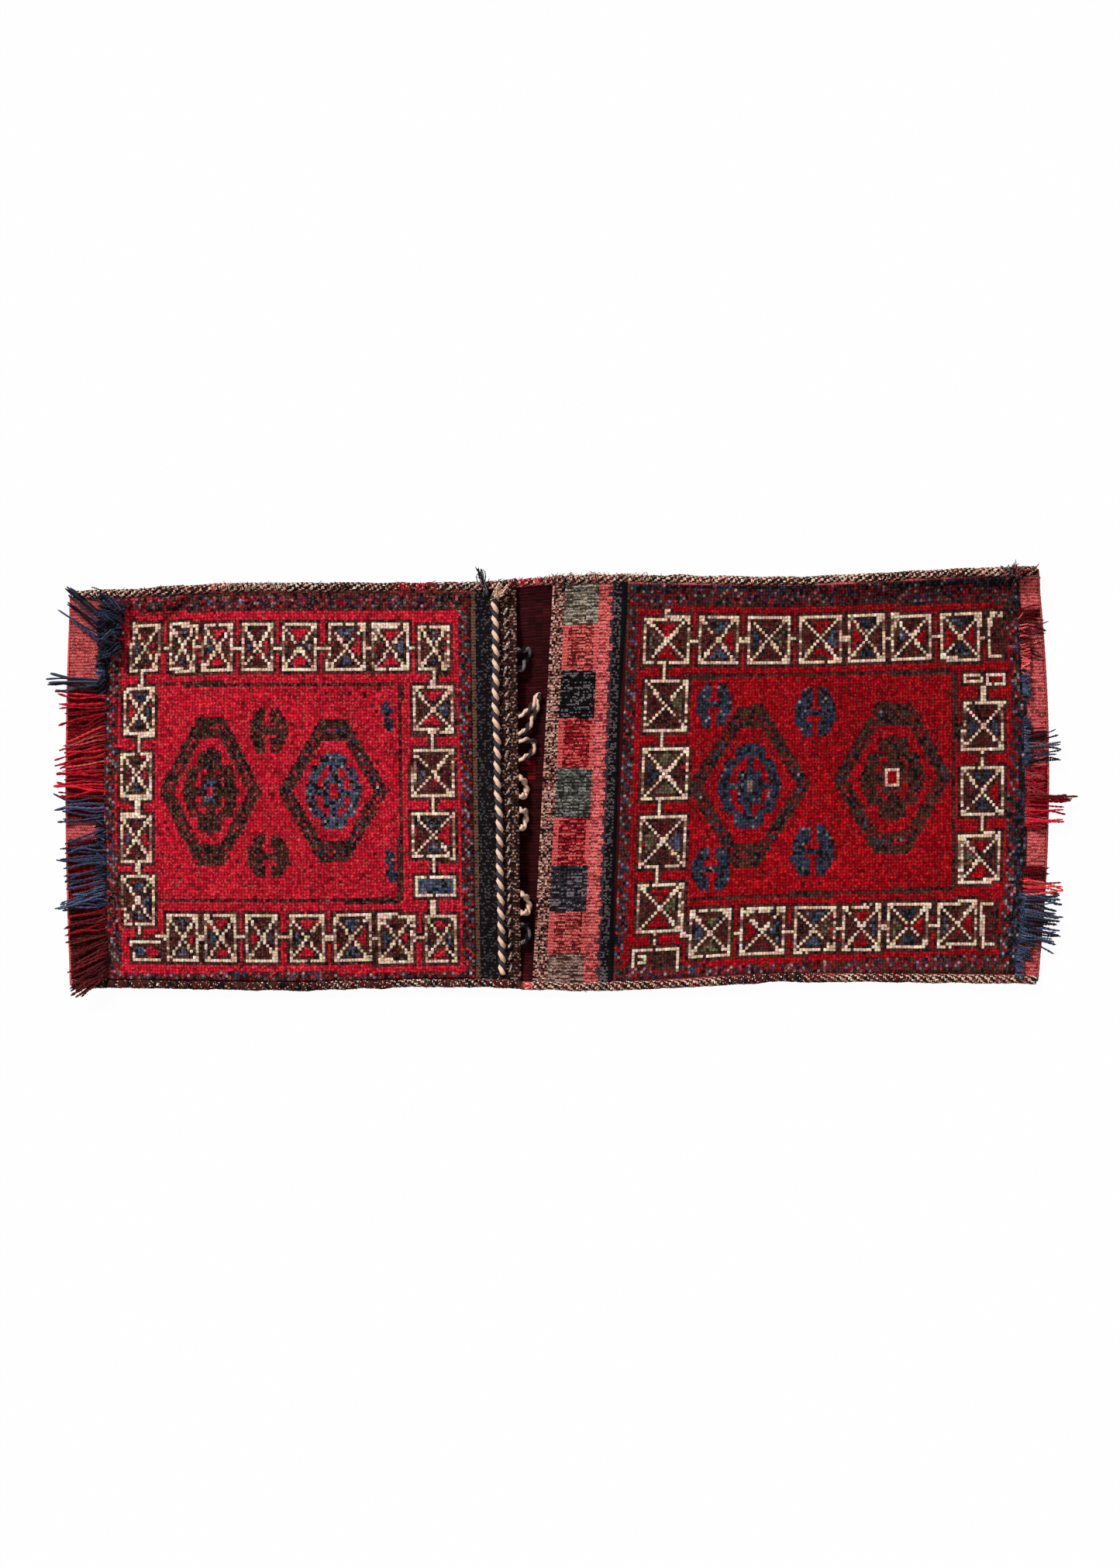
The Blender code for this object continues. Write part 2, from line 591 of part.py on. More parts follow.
def bindings(collection):
    """The bindings of both pockets and of the bridge between them, on both long sides."""
    wraps = ["brown_wool", "cream_wool", "black_wool"]
    for side, word in ((1, "far"), (-1, "near")):
        mouths = [place(on_front(front, front.mouth), side * HALF_WIDTH).x for front in (LEFT, RIGHT)]
        folds = [place(front.side * HALF, side * HALF_WIDTH).x for front in (LEFT, RIGHT)]
        binding(f"binding_{word}_left", side, folds[0], mouths[0], EDGE_STACK, wraps, collection)
        binding(f"binding_{word}_right", side, mouths[1], folds[1], EDGE_STACK, wraps, collection)
        binding(f"binding_{word}_bridge", side, mouths[0] + 2 * CLEARANCE, mouths[1] - 2 * CLEARANCE,
                FLAT_WEAVE, ["red_wool", "cream_wool"], collection)


def mouth_cord(collection):
    """A two-ply cord along the left mouth: a waisted section that turns as it goes."""
    reach = HALF_WIDTH - SIDE_MARGIN - CORD_RADIUS
    count = round(2 * reach / CORD_TWIST * CORD_STEPS)
    bm = bmesh.new()
    rings = []
    for i in range(count + 1):
        across = -reach + 2 * reach * i / count
        middle = top_of(LEFT, CORD_PLACE, across) + Vector((0, 0, CLEARANCE + CORD_RADIUS))
        turn = math.pi * i / CORD_STEPS
        ring = []
        for k in range(CORD_SIDES):
            angle = 2 * math.pi * k / CORD_SIDES
            radius = CORD_WAIST + (CORD_RADIUS - CORD_WAIST) * abs(math.cos(angle))
            ring.append(bm.verts.new(middle + Vector(
                (radius * math.cos(angle + turn), 0, radius * math.sin(angle + turn)))))
        rings.append(ring)
    for ring, after in zip(rings, rings[1:]):
        for k in range(CORD_SIDES):
            bm.faces.new((ring[k], after[k], after[k - 1], ring[k - 1]))
    bm.faces.new(rings[0])
    bm.faces.new(rings[-1][::-1])
    bmesh.ops.recalc_face_normals(bm, faces=bm.faces)
    mesh = bpy.data.meshes.new("mouth_cord")
    bm.to_mesh(mesh)
    bm.free()
    new_object("mouth_cord", mesh, collection, ["cream_wool"])


def loop(name, root, reach, shift, wool, collection):
    """A closing loop: a half ellipse of cord from the mouth's edge down to the bridge and back."""
    curve = bpy.data.curves.new(name, "CURVE")
    curve.dimensions = "3D"
    curve.bevel_depth = LOOP_RADIUS
    curve.bevel_resolution = 2
    curve.use_fill_caps = True
    spline = curve.splines.new("POLY")
    spline.points.add(LOOP_POINTS - 1)
    rim = place(on_front(LEFT, LEFT.mouth), root * HALF_WIDTH)
    floor = FLAT_WEAVE + CLEARANCE + LOOP_RADIUS
    for i, point in enumerate(spline.points):
        turn = math.pi * (i - 1) / (LOOP_POINTS - 3)
        out = math.sin(min(math.pi, max(0.0, turn)))
        lead = LOOP_LEAD if 0 < i < LOOP_POINTS - 1 else 0.0
        x = rim.x + CLEARANCE + lead + (reach - LOOP_RADIUS - LOOP_LEAD) * out
        y = rim.y + LOOP_SPREAD * math.cos(min(math.pi, max(0.0, turn))) + shift * out * out
        z = floor + (rim.z + FLAT_WEAVE / 2 - floor) * (1 - smooth(out))
        point.co = (x, y, z, 1)
    new_object(name, curve, collection, [wool])


def fringe(name, front, start, end, beyond, lean, wool, collection):
    """A comb of yarn ends that lies on the foot of a pocket and hangs over its fold."""
    width = (end - start) * HALF_WIDTH
    strands = max(2, round(width / FRINGE_STRAND / 2))
    pitch = width / (2 * strands - 1)
    heel = front.foot - CLEARANCE
    stations = (heel, heel - FRINGE_HEADER, 0.0, -beyond)
    bm = bmesh.new()
    rows = []
    for k, distance in enumerate(stations):
        row = []
        for i in range(2 * strands):
            across = start * HALF_WIDTH + i * pitch + lean * max(0.0, stations[1] - distance)
            row.append(bm.verts.new(fringe_point(front, distance, across)))
        rows.append(row)
    for k, (row, after) in enumerate(zip(rows, rows[1:])):
        for i in range(len(row) - 1):
            if k == 0 or i % 2 == 0:
                bm.faces.new((row[i], row[i + 1], after[i + 1], after[i])[::-front.side])
    mesh = bpy.data.meshes.new(name)
    bm.to_mesh(mesh)
    bm.free()
    thicken(new_object(name, mesh, collection, [wool]), FRINGE_THICKNESS)


def fringe_point(front, distance, across):
    """A point just above a pocket's foot, or past its fold where the yarn droops."""
    point = place(on_front(front, max(distance, 0.0)), across)
    beyond = max(-distance, 0.0)
    return point + Vector((front.side * beyond, 0, FLAT_WEAVE + CLEARANCE - FRINGE_DROOP * beyond))


def tuft(name, front, share, inset, length, radius, wool, collection):
    """A short bundle of yarn ends: a cone that lies across the binding, or on the cloth inside it."""
    inner = top_of(front, share * front.mouth, HALF_WIDTH - inset)
    outer = top_of(front, share * front.mouth, HALF_WIDTH - inset + length)
    if inset - length < BINDING_GRIP:
        over_binding = BINDING_CLEARANCE + BINDING_WALL + BINDING_SWELL
        height = lift(outer.x, HALF_WIDTH) + EDGE_STACK + over_binding + radius
    else:
        height = max(inner.z + TUFT_TAPER * radius, outer.z + radius)
    bm = bmesh.new()
    bmesh.ops.create_cone(
        bm, cap_ends=True, segments=TUFT_SIDES, radius1=radius * TUFT_TAPER, radius2=radius, depth=length
    )
    bmesh.ops.rotate(bm, verts=bm.verts, matrix=Matrix.Rotation(-math.pi / 2, 3, "X"))
    mesh = bpy.data.meshes.new(name)
    bm.to_mesh(mesh)
    bm.free()
    thing = new_object(name, mesh, collection, [wool])
    thing.location = ((inner.x + outer.x) / 2, (inner.y + outer.y) / 2, height + CLEARANCE)


def main():
    """Clears the file and builds the bag."""
    for thing in list(bpy.data.objects):
        bpy.data.objects.remove(thing, do_unlink=True)
    collection = bpy.data.collections.new("saddle_bag")
    bpy.context.scene.collection.children.link(collection)
    woven_body(collection)
    bindings(collection)
    mouth_cord(collection)
    for values in LOOPS:
        loop(*values, collection)
    for name, side, *values in FRINGES:
        fringe(name, FRONTS[side], *values, collection)
    for name, side, *values in TUFTS:
        tuft(name, FRONTS[side], *values, collection)


main()
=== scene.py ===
"""Saddle bag: the looks of a woven double bag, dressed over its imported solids.

The bag lies flat. X runs along it, Y across it and Z up, in metres. Patterns are placed on a
drawing of the bag, whose unit is PLAN_UNIT metres and whose rows count down from its far side.
"""

import math
from collections import namedtuple

import bpy
import numpy as np
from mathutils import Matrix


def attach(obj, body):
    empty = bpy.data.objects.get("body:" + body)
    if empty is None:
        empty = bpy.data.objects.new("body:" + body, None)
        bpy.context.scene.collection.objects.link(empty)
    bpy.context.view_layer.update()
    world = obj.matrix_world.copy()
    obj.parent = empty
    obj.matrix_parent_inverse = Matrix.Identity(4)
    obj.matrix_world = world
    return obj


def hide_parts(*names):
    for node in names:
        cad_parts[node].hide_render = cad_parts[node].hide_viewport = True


bl_info = {
    "name": "Woven saddle bag",
    "version": (1, 0, 0),
    "blender": (4, 5, 0),
    "location": "3D View > Sidebar > Saddle bag",
    "description": "Weaves the pile, flat weave, bindings, cords and fringe of a double saddle bag",
    "category": "Object",
}

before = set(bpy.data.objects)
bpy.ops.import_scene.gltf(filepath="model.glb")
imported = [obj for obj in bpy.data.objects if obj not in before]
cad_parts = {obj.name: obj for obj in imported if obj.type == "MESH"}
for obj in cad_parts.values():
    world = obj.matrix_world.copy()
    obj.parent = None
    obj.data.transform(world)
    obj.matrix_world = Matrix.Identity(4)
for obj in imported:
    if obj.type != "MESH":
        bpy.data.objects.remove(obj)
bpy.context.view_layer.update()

# The folded strip
BAG_LENGTH = 1.216
CLOTH_WIDTH = 0.518
FLAT_WEAVE = 0.0028
PILE_WEAVE = 0.0070
PILE_STEP = 0.0015
CLEARANCE = 0.0003
LAYER_GAP = 0.0008
POCKET_HEIGHT = 0.0110
POCKET_FOOT_RISE = 0.150
POCKET_SIDE_RISE = 0.100
RIDGE_HEIGHT = 0.0050
RIDGE_HALF_WIDTH = 0.0150
SIDE_MARGIN = 0.0095
LIFT_REACH = 0.022
CURLED_CORNER = 0.0055
CURL_FROM = 0.20
CURL_TO = 0.45
FAR_WANDER = ((-1.0, 0.030), (-0.62, 0.020), (-0.25, 0.020), (0.10, 0.009), (0.45, 0.012), (0.98, 0.0))
NEAR_WANDER = ((-1.0, 0.004), (-0.55, 0.001), (-0.20, 0.005), (0.05, 0.0), (0.50, 0.0115), (1.0, 0.0095))

# The overcast bindings
BINDING_WALL = 0.0022
BINDING_GRIP = 0.0078
BINDING_CLEARANCE = 0.0006
BINDING_SWELL = 0.0005
WRAP_PITCH = 0.0037
WRAP_RELIEF = 0.0008
WRAP_SLANT = 1.3
BINDING_STEP = 0.0009
BINDING_SIDES = 32
PLY_TURNS = 6
BINDING_SQUARENESS = 2.8

# Weaving
KNOT_ALONG = 0.0036
KNOT_ACROSS = 0.0039
THREAD = 0.0022
MARGIN_THREADS = 4
INNER_LINES = 18
BACK_LINE = 0.009
FOLD_LINES = 6
DASH_LINES = 4
# Painted shade and light: knots darkened at their corners and edges and brightened in their middles,
# flat-weave ribs darkened in their furrows and brightened on their crests
KNOT_SHADE = (0.40, 0.76, 1.34)
RIB_SHADE = (0.42, 1.25)
RIB_DEPTH = 0.00045
THREAD_DEPTH = 0.00015
HILLS = ((0.090, 0.0010), (0.028, 0.0004), (0.009, 0.00025))
CREAM_PROUD = 0.0003
KNOT_UNEVEN = 0.00016
EDGE_SHARE = 0.55
LOT_ROWS = 3
BACK_LOT_ROWS = 4
LOT_SPREAD = 0.05
FLAT_SPREAD = 0.8
TUFT_SPREAD = 0.9
# Painted highlight: how much the highlighted tufts are brightened
TUFT_HIGHLIGHT_GAIN = 1.15
# The pinched fold near the far left corner: its depth, and how much painted shade darkens the cloth along it
PINCH_DEPTH = 0.0022
PINCH_SHADE = 0.75
BRIDGE_HALF = 0.09
FINE_LINES_HALF = 0.06
BACK_UNEVEN = 0.10
LINING_UNEVEN = 0.30
# Share of the lining's faces in the painted patch of light between the pockets
LIT_PATCH_SHARE = 0.45

# The drawing
PLAN_UNIT = 0.000955
PLAN_MIDDLE = (719.0, 1005.0)
PATCH_PITCH = 60
PATCH_DEPTH = 0.10
SCALLOP = 19.5
PINCH_LINE = ((242.0, 772.0), (209.0, 802.0))
PINCH_REACH = 3.4
# Painted light: the patch where light reaches the red lining between the pockets, from, to, top and bottom
BRIDGE_LIT_PATCH = (674, 692, 975, 1005)

HALF_WIDTH = CLOTH_WIDTH / 2
FOLD_RADIUS = LAYER_GAP / 2
HALF = BAG_LENGTH / 2 - FOLD_RADIUS - FLAT_WEAVE
FOLD_ARC = math.pi * FOLD_RADIUS
SIDE_LIFT = BINDING_CLEARANCE + BINDING_WALL + BINDING_SWELL
EDGE_STACK = 2 * FLAT_WEAVE + LAYER_GAP

# A pocket's front: distances are measured from the fold at its foot. glow is the pale painted highlight that
# lit tufts add, fade is brightness by row, and flecks are the share and brightness of the mouth band's pale
# flecks
Front = namedtuple("Front", "name side bow pocket_start foot field_start pile_end bands mouth leans ridge "
                            "glow fade flecks")
LEFT = Front(
    name="left_front", side=-1, bow=0.006, pocket_start=0.045, foot=0.0443, field_start=0.1128,
    pile_end=0.5001, bands=((0.5308, "black"), (0.5573, "flecked")), mouth=0.5573,
    leans=((0.0, 0.0), (0.1128, 0.0), (0.5001, -0.014), (0.5573, -0.012)), ridge=None,
    glow=0.14, fade=None, flecks=(0.10, 0.50),
)
RIGHT = Front(
    name="right_front", side=1, bow=0.014, pocket_start=0.027, foot=0.0248, field_start=0.1168,
    pile_end=0.5268, mouth=0.6228, ridge=0.5433,
    bands=((0.5433, "black"), (0.5628, "salmon"), (0.6068, "squares"), (0.6228, "flecked")),
    leans=((0.0, 0.0), (0.1168, 0.0), (0.5268, 0.036), (0.6228, 0.050)),
    glow=0.06, fade=((735, 0.72), (880, 0.92), (1285, 1.10)), flecks=(0.28, 0.86),
)

# Wools, as red, green and blue from 0 to 255
DYES = {
    "left_red": (183, 20, 40),
    "right_red": (146, 4, 16),
    "crimson": (122, 12, 20),
    "ruby": (158, 30, 38),
    "salmon": (210, 88, 88),
    "coral": (178, 66, 64),
    "maroon": (80, 22, 24),
    # bridge: painted shade, the red lining between the pockets darkened as in the gap's shadow; the darkest
    # fringe yarns and the hidden linings use it too
    "bridge": (54, 12, 15),
    "navy": (42, 49, 66),
    "blue": (60, 70, 90),
    "charcoal": (56, 50, 56),
    "black": (22, 18, 20),
    "brown": (66, 36, 29),
    "rust": (132, 71, 62),
    "olive": (88, 80, 60),
    "slate": (84, 84, 76),
    "earth": (124, 92, 78),
    "tan": (116, 77, 56),
    "grey_green": (130, 117, 101),
    "cream": (244, 202, 174),
    "pale": (216, 164, 146),
    "ashy": (115, 106, 110),
}
WOOLS = list(DYES)


def linear(colour):
    """Screen values from 0 to 255 as linear light: the usual screen curve, undone."""
    share = np.asarray(colour, float) / 255
    return np.where(share <= 0.04045, share / 12.92, ((share + 0.055) / 1.055) ** 2.4)


def smooth(t):
    """A step from 0 to 1 with level ends: three t squared less two t cubed."""
    t = np.clip(t, 0.0, 1.0)
    return t * t * (3 - 2 * t)


def between(table, place):
    """The value at a place on the smooth line through a table's (place, value) pairs."""
    places, values = np.array(table, float).T
    left = np.clip(np.searchsorted(places, place, side="left") - 1, 0, len(places) - 2)
    t = (place - places[left]) / (places[left + 1] - places[left])
    return values[left] + (values[left + 1] - values[left]) * smooth(t)


def hills(x, y, pitch, seed):
    """Smooth random hills from -1 to 1: random heights on a square lattice, joined by smooth steps."""
    count = 97
    lattice = np.random.default_rng(seed).uniform(-1, 1, (count, count))
    u = x / pitch + count * 8
    v = y / pitch + count * 8
    i = np.floor(u).astype(int)
    j = np.floor(v).astype(int)
    rise, run = smooth(u - i), smooth(v - j)
    near = lattice[i % count, j % count] * (1 - rise) + lattice[(i + 1) % count, j % count] * rise
    far = lattice[i % count, (j + 1) % count] * (1 - rise) + lattice[(i + 1) % count, (j + 1) % count] * rise
    return near * (1 - run) + far * run


def side_edge(x, side):
    """Y of the cloth's edge at x: half the width less that side's wander."""
    return side * (HALF_WIDTH - between(FAR_WANDER if side > 0 else NEAR_WANDER, x / HALF))


def on_cloth(x, across):
    """Y at x of a thread of the flat strip: its share of the width, between the two edges."""
    near = side_edge(x, -1)
    return near + (side_edge(x, 1) - near) * (across + HALF_WIDTH) / CLOTH_WIDTH


def from_margin(across, reach):
    """A smooth rise from 0 at the side margins to 1 at this reach inside them."""
    return smooth((HALF_WIDTH - np.abs(across) - SIDE_MARGIN) / reach)


def lift(x, across):
    """How far the cloth rises at its sides: over the binding, and at the curled far right corner."""
    curl = np.where(across > 0, CURLED_CORNER * smooth((x - CURL_FROM) / (CURL_TO - CURL_FROM)), 0.0)
    return (SIDE_LIFT + curl) * (1 - from_margin(across, LIFT_REACH))


def front_inner(front, distance, across):
    """The inner face of a front: X counts back from the fold with the bow and the weaver's lean, and
    Z is the back, the lift and a pocket that rises smoothly from its foot and its sides."""
    distance, across = np.broadcast_arrays(np.asarray(distance, float), np.asarray(across, float))
    spare = front.bow * (across / HALF_WIDTH) ** 2
    x = front.side * (HALF - distance - spare * (1 - smooth(distance / front.field_start)))
    x = x + between(front.leans, distance) * across
    height = POCKET_HEIGHT * smooth((distance - front.pocket_start) / POCKET_FOOT_RISE)
    if front.ridge:
        hump = 1 - ((distance - front.ridge) / RIDGE_HALF_WIDTH) ** 2
        height = height + RIDGE_HEIGHT * np.clip(hump, 0, 1)
    z = FLAT_WEAVE + lift(x, across) + LAYER_GAP + height * from_margin(across, POCKET_SIDE_RISE)
    return np.stack([x, on_cloth(x, across), z], -1)


def front_thickness(front, distance, across):
    """Flat weave, rising to the knotted pile within one step of the pile's edges."""
    inside = np.minimum(np.minimum(distance - front.foot, front.pile_end - distance),
                        HALF_WIDTH - np.abs(across) - SIDE_MARGIN)
    return FLAT_WEAVE + (PILE_WEAVE - FLAT_WEAVE) * np.clip(inside / PILE_STEP, 0, 1)


def front_top(front, distance, across):
    """The upper face of a front: its weave, disturbed by hills of several lengths."""
    points = front_inner(front, distance, across)
    points[..., 2] += front_thickness(front, distance, across)
    for number, (pitch, depth) in enumerate(HILLS):
        seed = 40 + number + 10 * front.side
        points[..., 2] += depth * hills(points[..., 0], points[..., 1], pitch, seed)
    return points


def back_points(s, across, depth):
    """The back and its two folds: straight along the ground, then half a turn up round each fold, at
    this depth outwards from the inner face."""
    s, across = np.broadcast_arrays(np.asarray(s, float), np.asarray(across, float))
    side = np.where(s > 0, 1.0, -1.0)
    spare = np.where(s > 0, RIGHT.bow, LEFT.bow) * (across / HALF_WIDTH) ** 2
    turn = np.clip(np.abs(s) - HALF, 0, FOLD_ARC) / FOLD_RADIUS
    x = side * np.minimum(np.abs(s), HALF) * (1 - spare / HALF)
    y = on_cloth(x, across)
    z = FLAT_WEAVE + lift(x, across) + FOLD_RADIUS * (1 - np.cos(turn)) - depth * np.cos(turn)
    return np.stack([x + side * (FOLD_RADIUS + depth) * np.sin(turn), y, z], -1)


def plan_place(points):
    """The drawing's column and row of points on the bag: X and Y in plan units from its middle."""
    return PLAN_MIDDLE[0] + points[..., 0] / PLAN_UNIT, PLAN_MIDDLE[1] - points[..., 1] / PLAN_UNIT


# One knot's size on the drawing
KNOT_X = KNOT_ALONG / PLAN_UNIT
KNOT_Y = KNOT_ACROSS / PLAN_UNIT

# The edges of the piles, in drawing units: guards from, to, top and bottom, and plain strips with
# their wool. The guard and edge at one end follow a bend
GUARD_SLANT = 1.2
LEFT_GUARDS = ((137, 610, 768, 785), (137, 610, 1255, 1272))
LEFT_STRIPS = ((0, 640, 0, 768, "brown"), (137, 610, 785, 788.5, "brown"),
               (137, 610, 1271.5, 1300, "brown"), (0, 134, 770, 1290, "brown"))
LEFT_FOOT_GUARD = (134, 149, 785, 1262)
LEFT_MOUTH_GUARD = (590, 604, 785, 1256)
LEFT_MOUTH_EDGE = (604, 640, 768, 1275, "brown")
LEFT_BEND = 9
LEFT_BEND_SPAN = 470
# Painted shade on the right front: the black strip above row 760, the brown strip before column 811 and the
# black foot edge are dark knots laid where shade falls along the pile's edges
RIGHT_GUARDS = ((812, 1322, 760, 780), (812, 1322, 1249, 1266))
RIGHT_STRIPS = ((0, 2000, 0, 760, "black"), (812, 1322, 780, 784, "brown"),
                (812, 1322, 1266, 1300, "brown"), (0, 811, 700, 1300, "brown"))
RIGHT_MOUTH_GUARD = (811, 824, 784, 1256)
RIGHT_FOOT_GUARD = (1306, 1318, 784, 1256)
RIGHT_FOOT_EDGE = (1318, 1400, 700, 1300, "black")
RIGHT_BEND = ((760, -9), (900, 0), (1100, -7), (1230, -17))
BRACKET_REACH = 18

# Leans of the left rows near the foot: depth, first row, span of rows, cap, power and reach
LEAN_COLUMN = 150
LEFT_LEANS = ((14, 1000, -215, 1.2, 1.5, 150), (8, 1090, 150, 1.3, 1.3, 60))

# Border boxes of the left front, in drawing units: from, to, top, bottom and the wools of the four
# triangles, as top, left, right and bottom
LEFT_BOXES = (
    (160, 200, 804, 867, "mbrm"), (213, 251, 804, 867, "bmrb"), (259, 301, 804, 867, "rbmr"),
    (312, 353, 804, 867, "mbrm"), (363, 410, 804, 867, "rmbr"), (422, 472, 804, 867, "bmrb"),
    (481, 527, 805, 867, "rmbr"), (540, 579, 806, 867, "nmmn"),
    (156, 198, 886, 950, "nrbn"), (155, 197, 970, 1031, "mmrb"), (154, 196, 1050, 1113, "mbrm"),
    (154, 198, 1130, 1194, "bmbb"),
    (532, 586, 885, 945, "rmbr"), (532, 586, 967, 1028, "mbmm"), (532, 587, 1047, 1108, "bmrb"),
    (216, 256, 1179, 1242, "bmrb"), (265, 306, 1179, 1242, "rbmr"), (318, 360, 1179, 1242, "mrbm"),
    (373, 420, 1179, 1242, "rbmr"), (430, 479, 1179, 1242, "bmrb"), (489, 535, 1179, 1242, "mbrm"),
    (547, 590, 1179, 1242, "rmbr"),
)
LEFT_ROW_LINKS = ((836, 205, 540), (1210, 256, 547), (1210, 198, 216))
LEFT_COLUMN_LINKS = ((177, 867, 1212), (559, 867, 1179))
LEFT_FIELD = (205, 517, 883, 1162)
LEFT_MEDALLIONS = (
    (272, 1021, 67, 97, 17, "brown", "brown", (("blue", 8.5, 13.5), ("red", 4, 7))),
    (430.5, 1021, 71, 93, 17, "navy", "blue", (("red", 5.5, 9),)),
)
RIGHT_BOXES = (
    (832, 891, 796, 859, "rlmr"), (902, 953, 796, 859, "bmrb"), (966, 1019, 796, 859, "mnlm"),
    (1032, 1086, 796, 859, "rmbr"), (1095, 1141, 796, 859, "nrmn"), (1151, 1202, 796, 859, "mbrm"),
    (1213, 1266, 796, 859, "brrn"),
    (834, 893, 876, 945, "mmlm"), (836, 896, 966, 1032, "lnml"), (838, 896, 1053, 1119, "mlbm"),
    (838, 895, 1139, 1205, "rmlr"),
    (1242, 1297, 915, 979, "mnbm"), (1241, 1295, 1000, 1067, "nmrn"), (1239, 1292, 1088, 1154, "rlmr"),
    (904, 957, 1177, 1238, "lbml"), (968, 1022, 1177, 1238, "mrbm"), (1033, 1086, 1177, 1238, "bmlb"),
    (1095, 1142, 1177, 1238, "rmbr"), (1151, 1203, 1177, 1238, "nlrn"), (1211, 1263, 1177, 1238, "mbrm"),
)
RIGHT_ROW_LINKS = ((828, 891, 1276), (1208, 893, 1262))
RIGHT_COLUMN_LINKS = ((861, 785, 1224), (1269, 884, 1084))
RIGHT_FIELD = (893, 1232, 874, 1161)
RIGHT_MEDALLIONS = (
    (973, 1018, 78, 105, 15, "navy", "navy", (("earth", 4.5, 8),)),
    (1154, 1012, 76, 99, 22, "navy", "brown", (("pale", 8.5, 12.5), ("red", 4.5, 7.5))),
)

# Small figures in the fields: column, row, half width and half height, with their wool
LEFT_ANCHORS = ((347, 943, 24, 30, "brown"), (347, 1105, 25, 29, "brown"))
RIGHT_ANCHORS = ((925, 911, 22, 29, "navy"), (1054, 924, 26, 32, "navy"),
                 (1055, 1105, 27, 33, "navy"), (929, 1124, 24, 29, "navy"))
LEFT_DROPS = ((500, 924, 5.5, 20), (505, 1117, 6, 21))
TRIANGLE_WOOLS = {"m": "maroon", "b": "blue", "r": "red", "n": "navy", "l": "olive"}
SQUARE_ROWS = ((806, "grey_green"), (865, "coral"), (927, "black"), (991, "ruby"),
               (1055, "slate"), (1116, "ruby"), (1176, "charcoal"), (1231, "coral"),
               (1300, "earth"))
FOOT_ROWS = {
    # The left foot is crimson and maroon where locks of fringe lie over it: partly dark red weave, partly
    # painted shade under the yarns
    "left_front": ((889, "salmon"), (1061, "crimson"), (1084, "salmon"), (1168, "crimson"),
                   (1300, "maroon")),
    "right_front": ((786, "salmon"), (796, "maroon"), (943, "salmon"), (951, "crimson"), (988, "salmon"),
                    (1066, "left_red"), (1118, "salmon"), (1131, "maroon"), (1300, "salmon")),
}
# Specks of other wools in a wool: the share and the wool they are
SPECKS = {
    "brown": ((0.18, "black"), (0.08, "maroon"), (0.02, "red")),
    "maroon": ((0.30, "brown"), (0.10, "black")),
    "blue": ((0.24, "black"), (0.08, "ashy")),
    "navy": ((0.22, "black"), (0.05, "ashy")),
    "olive": ((0.25, "brown"),),
    "cream": ((0.05, "brown"),),
    "black": ((0.24, "navy"), (0.12, "maroon"), (0.05, "ashy")),
    "red": ((0.02, "maroon"),),
}


